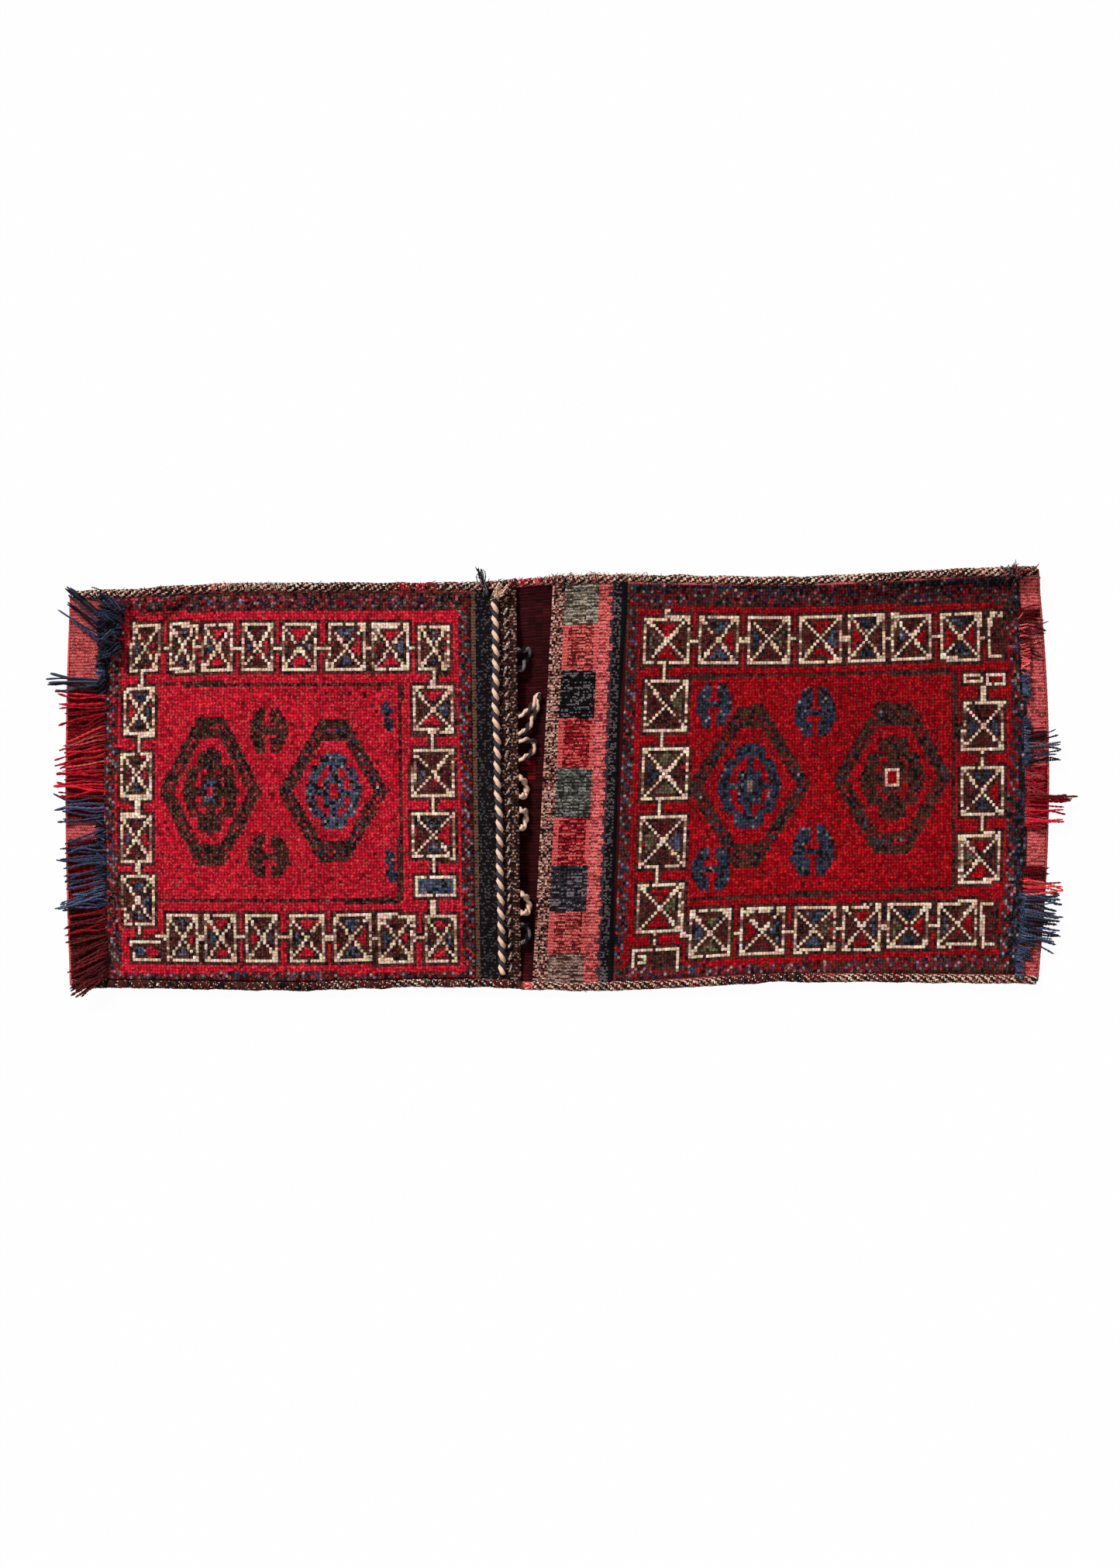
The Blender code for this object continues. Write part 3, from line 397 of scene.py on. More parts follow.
class Painting:
    """Wool numbers for an array of places on the drawing, laid one figure over another."""

    def __init__(self, column, row, red, rng):
        self.x = column
        self.y = row
        self.red = red
        self.rng = rng
        self.wool = np.full(column.shape, WOOLS.index(red))
        self.boxed = np.zeros(column.shape, bool)

    def lay(self, mask, name):
        """Puts one wool wherever the mask is true."""
        self.wool[mask] = WOOLS.index(self.red if name == "red" else name)

    def area(self, left, right, top, bottom):
        """The places inside a rectangle."""
        return (self.x >= left) & (self.x < right) & (self.y >= top) & (self.y < bottom)

    def bar(self, left, right, top, bottom, name):
        """A rectangle."""
        self.lay(self.area(left, right, top, bottom), name)

    def guard_row(self, left, right, top, bottom):
        """A narrow border along X: red and blue dots, staggered in pairs of rows on brown."""
        level = np.floor((self.y - top) / KNOT_Y)
        phase = (self.x / 10.7 + level / 3 + self.rng.normal(0, 0.12, self.x.shape)) % 1.0
        inside = self.area(left, right, top, bottom)
        self.lay(inside, "brown")
        self.lay(inside & (phase < 0.28), "crimson")
        self.lay(inside & (phase < 0.12), "red")
        self.lay(inside & (phase > 0.42) & (phase < 0.74), "navy")
        self.lay(inside & (phase > 0.52) & (phase < 0.62), "ashy")

    def guard_column(self, left, right, top, bottom):
        """A narrow border along Y: slanting stripes of blue, red and brown."""
        place = (self.y - GUARD_SLANT * (self.x - left)) / 17.0
        phase = (place + self.rng.normal(0, 0.11, self.x.shape)) % 1.0
        inside = self.area(left, right, top, bottom)
        self.lay(inside, "brown")
        self.lay(inside & (phase < 0.34), "navy")
        self.lay(inside & (phase > 0.10) & (phase < 0.22), "ashy")
        self.lay(inside & (phase > 0.50) & (phase < 0.76), "crimson")
        self.lay(inside & (phase > 0.58) & (phase < 0.68), "red")

    def box(self, left, right, top, bottom, wools):
        """A border box: brown outline, cream frame, cream cross and four brown-edged triangles."""
        self.bar(left - KNOT_X, right + KNOT_X, top - KNOT_Y, bottom + KNOT_Y, "brown")
        inside = self.area(left, right, top, bottom)
        u = (self.x - left) / (right - left)
        v = (self.y - top) / (bottom - top)
        edge = np.minimum(np.minimum(self.x - left, right - self.x) / KNOT_X,
                          np.minimum(self.y - top, bottom - self.y) / KNOT_Y)
        cross = np.minimum(np.abs(u - v), np.abs(u - 1 + v)) * (right - left) / KNOT_X
        upright = np.abs(v - 0.5) > np.abs(u - 0.5)
        self.lay(inside, "brown")
        core = inside & (edge > 2.1) & (cross > 1.8)
        for mask, code in ((upright & (v < 0.5), wools[0]), (~upright & (u < 0.5), wools[1]),
                           (~upright & (u >= 0.5), wools[2]), (upright & (v >= 0.5), wools[3])):
            self.lay(core & mask, TRIANGLE_WOOLS[code])
        self.lay(inside & (cross < 0.56), "cream")
        self.lay(inside & (edge < 1.08), "cream")
        level = np.abs(v - 0.5) < 0.42
        dotted = self.rng.uniform(0, 1, self.x.shape) < 0.45
        self.lay(inside & level & (edge < 1.08) & dotted & ~upright, "earth")
        corner = (np.minimum(self.x - left, right - self.x) < 2.3 * KNOT_X) & (
            np.minimum(self.y - top, bottom - self.y) < 1.9 * KNOT_Y)
        self.lay(inside & corner & (u > 0.5), "cream")

    def link_row(self, row, left, right):
        """Cream bars that join a row of boxes at their middles, wherever the ground still shows."""
        ground = np.isin(self.wool, [WOOLS.index(self.red), WOOLS.index("brown")]) & ~self.boxed
        inside = (self.x >= left) & (self.x < right) & ground
        self.lay(inside & (np.abs(self.y - row) < 1.5 * KNOT_Y), "brown")
        self.lay(inside & (np.abs(self.y - row) < 0.56 * KNOT_Y), "cream")

    def link_column(self, column, top, bottom):
        """Cream bars that join a column of boxes, wherever the ground still shows."""
        inside = (self.y >= top) & (self.y < bottom) & ~self.boxed
        self.lay(inside & (np.abs(self.x - column) < 1.6 * KNOT_X), "brown")
        self.lay(inside & (np.abs(self.x - column) < 0.6 * KNOT_X), "cream")

    def boxes(self, boxes):
        """All boxes of a front; the bars that join them stay outside."""
        for left, right, top, bottom, wools in boxes:
            self.box(left, right, top, bottom, wools)
            self.boxed |= self.area(left, right, top, bottom)

    def outline(self, left, right, top, bottom):
        """A brown line, one knot wide, along the top, bottom and right of a field."""
        self.bar(left, right, top - KNOT_Y * 0.7, top + KNOT_Y * 0.7, "brown")
        self.bar(left, right, bottom - KNOT_Y * 0.7, bottom + KNOT_Y * 0.7, "brown")
        self.bar(right - KNOT_X * 0.7, right + KNOT_X * 0.7, top, bottom, "brown")

    def medallion(self, column, row, reach, height, flat, core, figure, rings):
        """A six-sided ring: two brown lines and a mottled core, round a figure of four hooked arms."""
        a, b = np.abs(self.x - column), np.abs(self.y - row)
        width = flat + (reach - flat) * (1 - b / height)
        depth = np.minimum((width - a) / 18.5, (height - b) / 29.0)
        speck = self.rng.uniform(0, 1, self.x.shape)
        self.lay((depth > 0) & (depth < 1), "brown")
        mottled = (depth > 0.42) & (depth < 0.62)
        self.lay(mottled & (speck < 0.22), "red")
        self.lay(mottled & (speck > 0.62), core)
        self.hooks(a * 70 / reach, b * 93 / height, figure)
        for wool, half_wide, half_high in rings:
            self.lay((a < half_wide) & (b < half_high), wool)

    def hooks(self, a, b, wool):
        """Four hooked arms round a small square: each arm is a stem under a bent bar. a and b are the
        distances from the middle; the brown figures are stouter."""
        fat = 2.0 if wool == "brown" else 0.0
        sides = (np.abs(a - (30.5 - 0.32 * b)) < 6.2 + fat) & (b < 32)
        ends = (np.abs(b - (44 - 0.55 * a)) < 6.4 + 0.22 * a + 1.5 * fat) & (a < 16.5)
        stems = ((b < 4.6 + fat) & (a < 30)) | ((a < 4.6 + fat) & (b < 44))
        square = (a < 13) & (b < 19.5)
        self.lay(sides | ends | stems | square, wool)

    def anchor(self, column, row, reach, height, wool):
        """Two bent bars joined by a short one: their outer edges lean in towards their ends."""
        a, b = np.abs(self.x - column), np.abs(self.y - row)
        outer = a < reach - 0.55 * np.clip(b - 10, 0, None)
        gap = (b > 5) & (a < np.where(b < 10, 9, 4))
        self.lay(outer & (b < height) & ~gap, wool)

    def speckle(self):
        """Swaps single knots for other wools, as the yarns' own mixed fibres do."""
        speck = self.rng.uniform(0, 1, self.wool.shape)
        before = self.wool.copy()
        for name, mixes in SPECKS.items():
            ground = before == WOOLS.index(self.red if name == "red" else name)
            low = 0.0
            for share, other in mixes:
                self.lay(ground & (speck >= low) & (speck < low + share), other)
                low += share

    def drop(self, column, row, reach, height):
        """A small figure of two beads, one above the other."""
        b = self.y - row
        middle = column + 0.12 * b
        width = reach * (0.45 + 0.75 * np.abs(np.sin(math.pi * b / height)))
        self.lay((np.abs(self.x - middle) < width) & (np.abs(b) < height), "navy")


def left_lean(column, row):
    """How far the left front's rows of knots lean to the right near its foot: powers of the way past a
    row, at the top and at the bottom, that fade out along the front."""
    lean = np.zeros(np.shape(column))
    for depth, start, span, cap, power, reach in LEFT_LEANS:
        way = np.clip((row - start) / span, 0, cap) ** power
        lean = lean + depth * way * np.clip(1 - (column - LEAN_COLUMN) / reach, 0, 1)
    return lean


def guard_pile(art, rows, strips, straight, bend, bent, edge):
    """The edges of a pile: rows of guards, plain strips, one straight column of guards at one end, and
    one with its own edge that follows a bend at the other."""
    for place in rows:
        art.guard_row(*place)
    for place in strips:
        art.bar(*place)
    art.guard_column(*straight)
    art.x = art.x - bend
    art.guard_column(*bent)
    art.bar(*edge)
    art.x = art.x + bend


def fill_pile(art, boxes, field, row_links, column_links, odd_boxes, medallions, anchors, drops):
    """The figures inside the guards, laid in this order, and the single knots of other wools."""
    art.boxes(boxes)
    art.outline(*field)
    for figure, places in ((art.link_row, row_links), (art.link_column, column_links), (art.bar, odd_boxes),
                           (art.medallion, medallions), (art.anchor, anchors), (art.drop, drops)):
        for place in places:
            figure(*place)
    art.speckle()
    return art


def paint_left(column, row, rng):
    """The left front's pile."""
    art = Painting(column - left_lean(column, row), row, "left_red", rng)
    bend = LEFT_BEND * np.clip((row - LEFT_MOUTH_GUARD[2]) / LEFT_BEND_SPAN, 0, 1)
    guard_pile(art, LEFT_GUARDS, LEFT_STRIPS, LEFT_FOOT_GUARD, bend, LEFT_MOUTH_GUARD, LEFT_MOUTH_EDGE)
    return fill_pile(art, LEFT_BOXES, LEFT_FIELD, LEFT_ROW_LINKS, LEFT_COLUMN_LINKS,
                     LEFT_ODD_BOXES, LEFT_MEDALLIONS, LEFT_ANCHORS, LEFT_DROPS)


def half_box(left, right, top, bottom, wools, end):
    """A low box that ran out of room, as bars: a cream frame whose ground stops at its own end, round two
    patches."""
    middle = (left + right) / 2
    high, low = top + 1.6 * KNOT_Y, bottom - 1.6 * KNOT_Y
    return (
        (left - KNOT_X, right + KNOT_X, top - KNOT_Y, bottom + KNOT_Y, "brown"),
        (left, right, top, bottom, "cream"),
        (left + KNOT_X, end, top + KNOT_Y, bottom - KNOT_Y, "brown"),
        (left + 2 * KNOT_X, middle, high, low, wools[0]),
        (middle, right - KNOT_X, high, low, wools[1]),
    )


def bracket(left, top, bottom):
    """A box cut off by the right front's foot, as bars: a cream bracket round a maroon ground."""
    return (
        (left - KNOT_X, left + BRACKET_REACH + 5, top - KNOT_Y, bottom + KNOT_Y, "brown"),
        (left, left + BRACKET_REACH, top, bottom, "cream"),
        (left + KNOT_X, left + BRACKET_REACH, top + 1.7 * KNOT_Y, bottom - 1.7 * KNOT_Y, "maroon"),
    )


LEFT_ODD_BOXES = (
    *half_box(164, 208, 1213, 1241, ("blue", "red"), 208 + KNOT_X),
    (531, 592, 1125, 1161, "brown"), (535, 588, 1128, 1157, "cream"), (539, 584, 1132, 1153, "blue"),
)
RIGHT_ODD_BOXES = (
    (828, 896, 1219, 1250, "brown"), (832, 892, 1223, 1227, "cream"), (832, 836, 1223, 1250, "cream"),
    (888, 892, 1223, 1250, "cream"), (840, 852, 1233, 1245, "cream"), (843, 849, 1236, 1242, "blue"),
    *half_box(1243, 1268, 876, 891, ("maroon", "maroon"), 1268 - KNOT_X),
    *half_box(1274, 1297, 876, 891, ("red", "red"), 1297 - KNOT_X),
    *bracket(1276, 796, 857), *bracket(1267, 1179, 1240),
)


def paint_right(column, row, rng):
    """The right front's pile, on lines that lean and tilt more towards its foot and its near side."""
    lean = 18 * (row - 797) / 426 * np.clip((1300 - column) / 460, 0, 1)
    tilt = (column - 832) / 440 * (-6 - 12 * (row - 800) / 430)
    art = Painting(column + lean, row - tilt, "right_red", rng)
    bend = between(RIGHT_BEND, row)
    guard_pile(art, RIGHT_GUARDS, RIGHT_STRIPS, RIGHT_MOUTH_GUARD, bend, RIGHT_FOOT_GUARD, RIGHT_FOOT_EDGE)
    return fill_pile(art, RIGHT_BOXES, RIGHT_FIELD, RIGHT_ROW_LINKS, RIGHT_COLUMN_LINKS,
                     RIGHT_ODD_BOXES, RIGHT_MEDALLIONS, RIGHT_ANCHORS, ())


def dye_table(settings):
    """The wools' colours in linear light, in the order of WOOLS."""
    table = np.array([linear(DYES[name]) for name in WOOLS])
    for name in SaddleBagWools.__annotations__:
        table[WOOLS.index(name)] = getattr(settings, name)
    return table


def uneven_dye(shape, rng, spread):
    """Random shares round 1 for each knot or thread: brightness first, then a little of each colour."""
    bright = np.exp(rng.normal(0, spread, shape))
    tint = np.exp(rng.normal(0, spread * 0.35, shape + (3,)))
    return np.clip(bright, 0.35, 2.2)[..., None] * tint


def spread_to_lines(knots):
    """Values at every line of a grid with two squares for each knot: a knot's own value in its middle,
    and the mean of the knots that meet on its edges and corners."""
    padded = np.pad(knots, 1, mode="edge")
    lines = np.empty((2 * knots.shape[0] + 1, 2 * knots.shape[1] + 1))
    lines[1::2, 1::2] = knots
    lines[::2, ::2] = (padded[:-1, :-1] + padded[1:, :-1] + padded[:-1, 1:] + padded[1:, 1:]) / 4
    lines[1::2, ::2] = (padded[1:-1, :-1] + padded[1:-1, 1:]) / 2
    lines[::2, 1::2] = (padded[:-1, 1:-1] + padded[1:, 1:-1]) / 2
    return lines


def corner_stack(grid):
    """The four corner values of every square of a grid, in order round the square."""
    return np.stack([grid[:-1, :-1], grid[1:, :-1], grid[1:, 1:], grid[:-1, 1:]], 2)


def across_lines():
    """Places across the cloth: the plain margins, then two lines for each knot between them."""
    inner = HALF_WIDTH - SIDE_MARGIN
    margin = np.linspace(-HALF_WIDTH, -inner, MARGIN_THREADS + 1)[:-1]
    knots = round(2 * inner / KNOT_ACROSS)
    return np.concatenate([margin, np.linspace(-inner, inner, 2 * knots + 1), -margin[::-1]])


def front_lines(front):
    """Distances along a front: threads in its flat bands and two lines for each knot of its pile.
    Also the number of lines before the pile and the number of knots."""
    foot = np.linspace(0, front.foot, round(front.foot / THREAD) + 1)[:-1]
    knots = round((front.pile_end - front.foot) / KNOT_ALONG)
    parts = [foot, np.linspace(front.foot, front.pile_end, 2 * knots + 1)[:-1]]
    start = front.pile_end
    for end, _ in front.bands:
        parts.append(np.linspace(start, end, round((end - start) / THREAD) + 1)[:-1])
        start = end
    return np.concatenate([*parts, [front.mouth]]), len(foot), knots


def build_mesh(name, points, faces, dyes, uvs=None):
    """A mesh piece from points and arrays of faces with 4 or 3 corners, with its dye at each corner."""
    mesh = bpy.data.meshes.new(name)
    corners = np.concatenate([part.reshape(-1) for part in faces])
    sizes = np.concatenate([np.full(len(part), part.shape[1]) for part in faces])
    starts = np.concatenate([[0], np.cumsum(sizes)[:-1]])
    mesh.vertices.add(len(points))
    mesh.vertices.foreach_set("co", np.ascontiguousarray(points, np.float32).reshape(-1))
    mesh.loops.add(len(corners))
    mesh.loops.foreach_set("vertex_index", corners.astype(np.int32))
    mesh.polygons.add(len(sizes))
    mesh.polygons.foreach_set("loop_start", starts.astype(np.int32))
    mesh.polygons.foreach_set("use_smooth", np.ones(len(sizes), bool))
    mesh.update(calc_edges=True)
    dye = mesh.color_attributes.new("dye", "FLOAT_COLOR", "CORNER")
    rgba = np.ones((len(corners), 4), np.float32)
    rgba[:, :3] = np.clip(dyes, 0, 1)
    dye.data.foreach_set("color", rgba.reshape(-1))
    if uvs is not None:
        layer = mesh.uv_layers.new(name="cloth")
        layer.data.foreach_set("uv", np.ascontiguousarray(uvs, np.float32).reshape(-1))
    if mesh.validate():
        raise RuntimeError(f"{name} has faces that don't hold together")
    piece = bpy.data.objects.new(name, mesh)
    bpy.context.scene.collection.objects.link(piece)
    return piece


def closed_cloth(name, outer, inner, picks, side, dyes, uvs, lining, home=None):
    """A sheet with two faces and closed edges. Its rows run out over the outer face and home over the
    inner one, picks says which outer rows the inner rows lie under, and fans close the two sides.
    home holds the inner face's corner dyes, in its rows' order home; else it has the lining's."""
    rows = np.concatenate([outer, inner[::-1]])
    count, across = rows.shape[:2]
    index = np.arange(count * across).reshape(count, across)
    ring = np.concatenate([index, index[:1]])
    quads = np.stack([ring[:-1, :-1], ring[1:, :-1], ring[1:, 1:], ring[:-1, 1:]], 2)
    body = len(outer) - 1
    steps = np.arange(body)
    owner = np.searchsorted(picks[1:], steps, side="right")
    under = index[body + 1:][::-1]
    fans = []
    for column, turned in ((0, False), (across - 1, True)):
        top, low = index[:body + 1, column], under[:, column]
        first = np.stack([low[owner], top[steps + 1], top[steps]], 1)
        second = np.stack([low[:-1], low[1:], top[picks[1:]]], 1)
        fan = np.concatenate([first, second])
        fans.append(fan[:, ::-1] if turned else fan)
    corners = np.empty(quads.shape + (3,))
    corners[:] = lining
    corners[:body] = dyes
    if home is not None:
        corners[body + 1:body + 1 + len(home)] = home
    maps = np.zeros(quads.shape + (2,))
    maps[:body] = uvs
    if side > 0:
        quads, corners, maps = quads[:, :, ::-1], corners[:, :, ::-1], maps[:, :, ::-1]
        fans = [fan[:, ::-1] for fan in fans]
    fan_corners = sum(fan.size for fan in fans)
    dyes = np.concatenate([corners.reshape(-1, 3), np.tile(lining, (fan_corners, 1))])
    maps = np.concatenate([maps.reshape(-1, 2), np.zeros((fan_corners, 2))])
    return build_mesh(name, rows.reshape(-1, 3), [quads.reshape(-1, 4), *fans], dyes, maps)


def row_wools(row, table):
    """Wool numbers by row, from a table of (last row, wool)."""
    wools = np.array([WOOLS.index(name) for _, name in table])
    return wools[np.searchsorted([bottom for bottom, _ in table[:-1]], row)]


def flat_wool(front, distance, row):
    """Wool numbers of a front's foot and of the flat-woven bands at its mouth."""
    wool = row_wools(row, FOOT_ROWS[front.name])
    start = front.pile_end
    for end, name in front.bands:
        band = (distance >= start) & (distance < end)
        start = end
        if name == "squares":
            wool[band] = row_wools(row, SQUARE_ROWS)[band]
        elif name == "flecked":
            wool[band] = WOOLS.index("brown" if front is LEFT else "rust")
        else:
            wool[band] = WOOLS.index(name)
    return wool


def ribbed(rows, columns):
    """Relief and painted shade of flat weave at the lines of a grid: every other line is a furrow between
    two ribs, painted darker as shade while the ribs are painted brighter, and threads lie lower at every
    other crossing."""
    rib = np.arange(columns) % 2
    thread = (np.arange(rows)[:, None] + np.arange(columns)[None, :] // 2) % 2
    relief = -RIB_DEPTH * (1 - rib)[None, :] - THREAD_DEPTH * thread
    return relief, np.tile(np.array(RIB_SHADE)[rib], (rows, 1))


def yarn_lots(count, rows, spread, rng):
    """Brightness by row: one draw for each lot of yarn, which lasts this many rows."""
    return np.exp(np.repeat(rng.normal(0, spread, -(-count // rows)), rows))[:count, None, None]


def knot_dyes(front, wool, column, row, table, spread, rng, seed):
    """Each knot's dye: its wool, uneven, from lots of yarn that last a few rows, with broad patches and
    the front's own fade."""
    dyes = table[wool] * uneven_dye(wool.shape, rng, spread)
    lots = yarn_lots(len(wool), LOT_ROWS, LOT_SPREAD, rng)
    dyes *= lots * (1 + PATCH_DEPTH * hills(column, row, PATCH_PITCH, seed + 5))[..., None]
    if front.fade:
        dyes *= between(front.fade, row)[..., None]
    return dyes


def knot_heights(wool, weave, rng):
    """Heights at the lines of the pile: knots stand above their edges, cream a little proud, and dark
    wool is worn down."""
    worn = np.isin(wool, [WOOLS.index("brown"), WOOLS.index("maroon")])
    proud = np.where(wool == WOOLS.index("cream"), CREAM_PROUD, 0.0)
    stands = spread_to_lines(proud - np.where(worn, weave.dark_wear, 0.0)
                             + rng.normal(0, KNOT_UNEVEN, wool.shape))
    stands[::2, :] -= weave.knot_depth * EDGE_SHARE
    stands[:, ::2] -= weave.knot_depth * EDGE_SHARE
    return stands


def tuft_dyes(front, knots, table, weave, rng):
    """Dyes of each knot's four tufts: the knot's own, uneven again, and on some a painted highlight, as if
    they catch the light.
    """
    tufts = np.repeat(np.repeat(knots, 2, 0), 2, 1)
    tufts *= uneven_dye(tufts.shape[:2], rng, weave.dye_spread * TUFT_SPREAD)
    lit = rng.uniform(0, 1, tufts.shape[:2]) < weave.bright_fibres
    # Painted highlight: chosen tufts brightened and given a pale tint
    tufts[lit] = tufts[lit] * TUFT_HIGHLIGHT_GAIN + table[WOOLS.index("pale")] * front.glow
    return tufts


def weave_front(front, paint, settings, weave, seed):
    """One pocket's front: a grid of knots and threads laid over the pocket's face."""
    rng = np.random.default_rng(seed)
    table = dye_table(settings)
    along, first, knots = front_lines(front)
    across = across_lines()
    last = first + 2 * knots
    low, high = MARGIN_THREADS, len(across) - 1 - MARGIN_THREADS
    points = front_top(front, along[:, None], across[None, :])

    column, row = plan_place(points[first + 1:last:2, low + 1:high:2])
    art = paint(column, row, rng)
    knot_dye = knot_dyes(front, art.wool, column, row, table, weave.dye_spread, rng, seed)
    heights, shade = ribbed(len(along), len(across))
    heights[first:last + 1, low:high + 1] = knot_heights(art.wool, weave, rng)
    # Painted shade and light on the knots: corners darkest, edge middles darker, knot middles brighter
    edges = (np.arange(2 * knots + 1)[:, None] % 2) + (np.arange(high - low + 1)[None, :] % 2)
    shade[first:last + 1, low:high + 1] = np.array(KNOT_SHADE)[edges]
    if front is LEFT:
        pinch = pinched(*plan_place(points))
        heights -= PINCH_DEPTH * pinch
        # Painted shade along the pinched fold
        shade *= 1 - PINCH_SHADE * pinch
    points[..., 2] += heights

    row = plan_place((points[:-1, :-1] + points[1:, 1:]) / 2)[1]
    distance = np.broadcast_to(((along[:-1] + along[1:]) / 2)[:, None], row.shape)
    wool = flat_wool(front, distance, row)
    face_dye = table[wool] * uneven_dye(wool.shape, rng, weave.dye_spread * FLAT_SPREAD)
    face_dye = flecks(front, face_dye, wool, distance, row, rng, table)
    face_dye[first:last, low:high] = tuft_dyes(front, knot_dye, table, weave, rng)
    dyes = face_dye[:, :, None, :] * corner_stack(shade)[..., None]
    maps = np.stack(np.broadcast_arrays(along[:, None], across[None, :]), -1)
    picks = np.round(np.linspace(0, len(along) - 1, INNER_LINES)).astype(int)
    inner = front_inner(front, along[picks][:, None], across[None, :])
    # The inner face takes the bridge's dark dye, the painted-shade lining
    return closed_cloth(front.name, points, inner, picks, front.side, dyes, corner_stack(maps),
                        table[WOOLS.index("bridge")])


def pinched(column, row):
    """How deep a place lies in the pinched fold near the far left corner: a bell curve of the distance
    from a short slanting line."""
    start, end = np.array(PINCH_LINE)
    way = end - start
    share = np.clip(((column - start[0]) * way[0] + (row - start[1]) * way[1]) / (way @ way), 0, 1)
    away = np.hypot(column - start[0] - share * way[0], row - start[1] - share * way[1])
    return np.exp(-(away / PINCH_REACH) ** 2)


def flecks(front, dye, wool, distance, row, rng, table):
    """Threads of other wools in the flat bands: pale flecks in the brown mouth bands, ashy ones in the
    black bands, brighter and darker dashes in the squares and the salmon strip. The salmon strip meets
    the black band in scallops, and a tan edge lies along the left pile."""
    speck = rng.uniform(0, 1, wool.shape)
    dashes = np.repeat(rng.uniform(0, 1, (-(-len(speck) // DASH_LINES), speck.shape[1])), DASH_LINES, axis=0)
    dash = 0.6 * dashes[:len(speck)] + 0.4 * speck
    wools = ("pale", "ashy", "cream", "black", "tan", "charcoal", "salmon")
    pale, ashy, cream, black, tan, charcoal, salmon = (table[WOOLS.index(name)] for name in wools)
    start = front.pile_end
    for end, name in front.bands:
        band = (distance >= start) & (distance < end)
        share = np.clip((distance - start) / (end - start), 0, 1)
        start = end
        if name == "flecked":
            few, glow = front.flecks
            dye[band & (speck < few + 0.16 * share)] = pale * glow
            dye[band & (speck < 0.05)] = cream * glow * 1.2
            dye[band & (speck > 0.70)] = black
        elif name == "black" and front is LEFT:
            dye[band & (speck < 0.22)] = ashy * 0.42
            dye[band & (share < 0.24) & (speck > 0.30)] = tan
        elif name == "black":
            dye[band & (share > 0.40) & (speck < 0.40)] = ashy * 0.7
        elif name == "salmon":
            lit = band & (dash < 0.34)
            dye[lit] = dye[lit] * 1.3 + pale * 0.20
            dye[band & (dash > 0.64)] *= 0.34
            lobe = np.sin(row * 2 * math.pi / SCALLOP) + rng.normal(0, 0.45, wool.shape)
            dye[band & (share < 0.16 + 0.10 * lobe)] = charcoal
        elif name == "squares":
            red = np.isin(wool, [WOOLS.index("coral"), WOOLS.index("ruby")])
            lit = band & (dash < 0.33)
            dye[lit] = dye[lit] * 1.6 + np.where(red[..., None], pale * 0.26, ashy * 0.80)[lit]
            dye[band & (dash > 0.60)] *= 0.22
            dye[band & red & ((share > 0.84) | (share < 0.10)) & (speck > 0.25)] = salmon * 1.15
    foot = distance < front.foot
    lit = foot & (dash < 0.28)
    dye[lit] = dye[lit] * 1.3 + pale * 0.06
    dye[foot & (dash > 0.70)] *= 0.40
    return dye


def weave_back(settings):
    """The back, the two folds and the bridge in one flat-woven sheet, ribbed along its length. Between the
    pockets its inner face is its red lining painted dark as shade, with one patch of painted light where the
    red shows."""
    rng = np.random.default_rng(31)
    table = dye_table(settings)
    across = across_lines()
    panels = round(2 * HALF / BACK_LINE)
    arc = HALF + FOLD_ARC * np.linspace(0, 1, FOLD_LINES + 1)
    flat = np.linspace(-HALF, HALF, panels + 1)[1:-1]
    along = np.concatenate([-arc[::-1], flat, arc])
    relief, shade = ribbed(len(along), len(across))
    outer = back_points(along[:, None], across[None, :], FLAT_WEAVE + relief)
    lines = np.arange(len(along))
    picks = lines[(lines % 3 == 0) | (lines == lines[-1]) | (np.abs(along) < FINE_LINES_HALF)]
    inner = back_points(along[picks][:, None], across[None, :], 0.0)
    furrow = RIB_DEPTH * (1 - np.arange(len(across)) % 2)[None, :]
    inner[..., 2] -= np.where(np.abs(inner[..., 0]) < BRIDGE_HALF, furrow, 0.0)
    faces = (len(along) - 1, len(across) - 1)
    dye = np.tile(table[WOOLS.index("salmon")], faces + (1,)) * uneven_dye(faces, rng, BACK_UNEVEN)
    dye *= yarn_lots(faces[0], BACK_LOT_ROWS, 2 * LOT_SPREAD, rng)
    # Painted shade in the rib furrows and painted light on the ribs, from ribbed
    dyes = dye[:, :, None, :] * corner_stack(shade)[..., None]
    maps = np.stack(np.broadcast_arrays(along[:, None], across[None, :]), -1)
    column, row = plan_place((inner[:-1, :-1] + inner[1:, 1:]) / 2)
    # Painted shade: between the pockets the lining takes the dark bridge dye; painted light: a red patch
    # where light reaches it
    dark = table[WOOLS.index("bridge")] * uneven_dye(column.shape, rng, LINING_UNEVEN)
    left, right, top, bottom = BRIDGE_LIT_PATCH
    inside = (column > left) & (column < right) & (row > top) & (row < bottom)
    lit_patch = inside & (rng.uniform(0, 1, row.shape) < LIT_PATCH_SHARE)
    dark[lit_patch] = dark[lit_patch] * 0.5 + table[WOOLS.index("left_red")] * 0.45
    home = (dark[:, :, None, :] * corner_stack(shade[:len(inner)])[..., None])[::-1]
    return closed_cloth("back_and_bridge", outer, inner, picks, 1, dyes, corner_stack(maps),
                        table[WOOLS.index("bridge")], home)


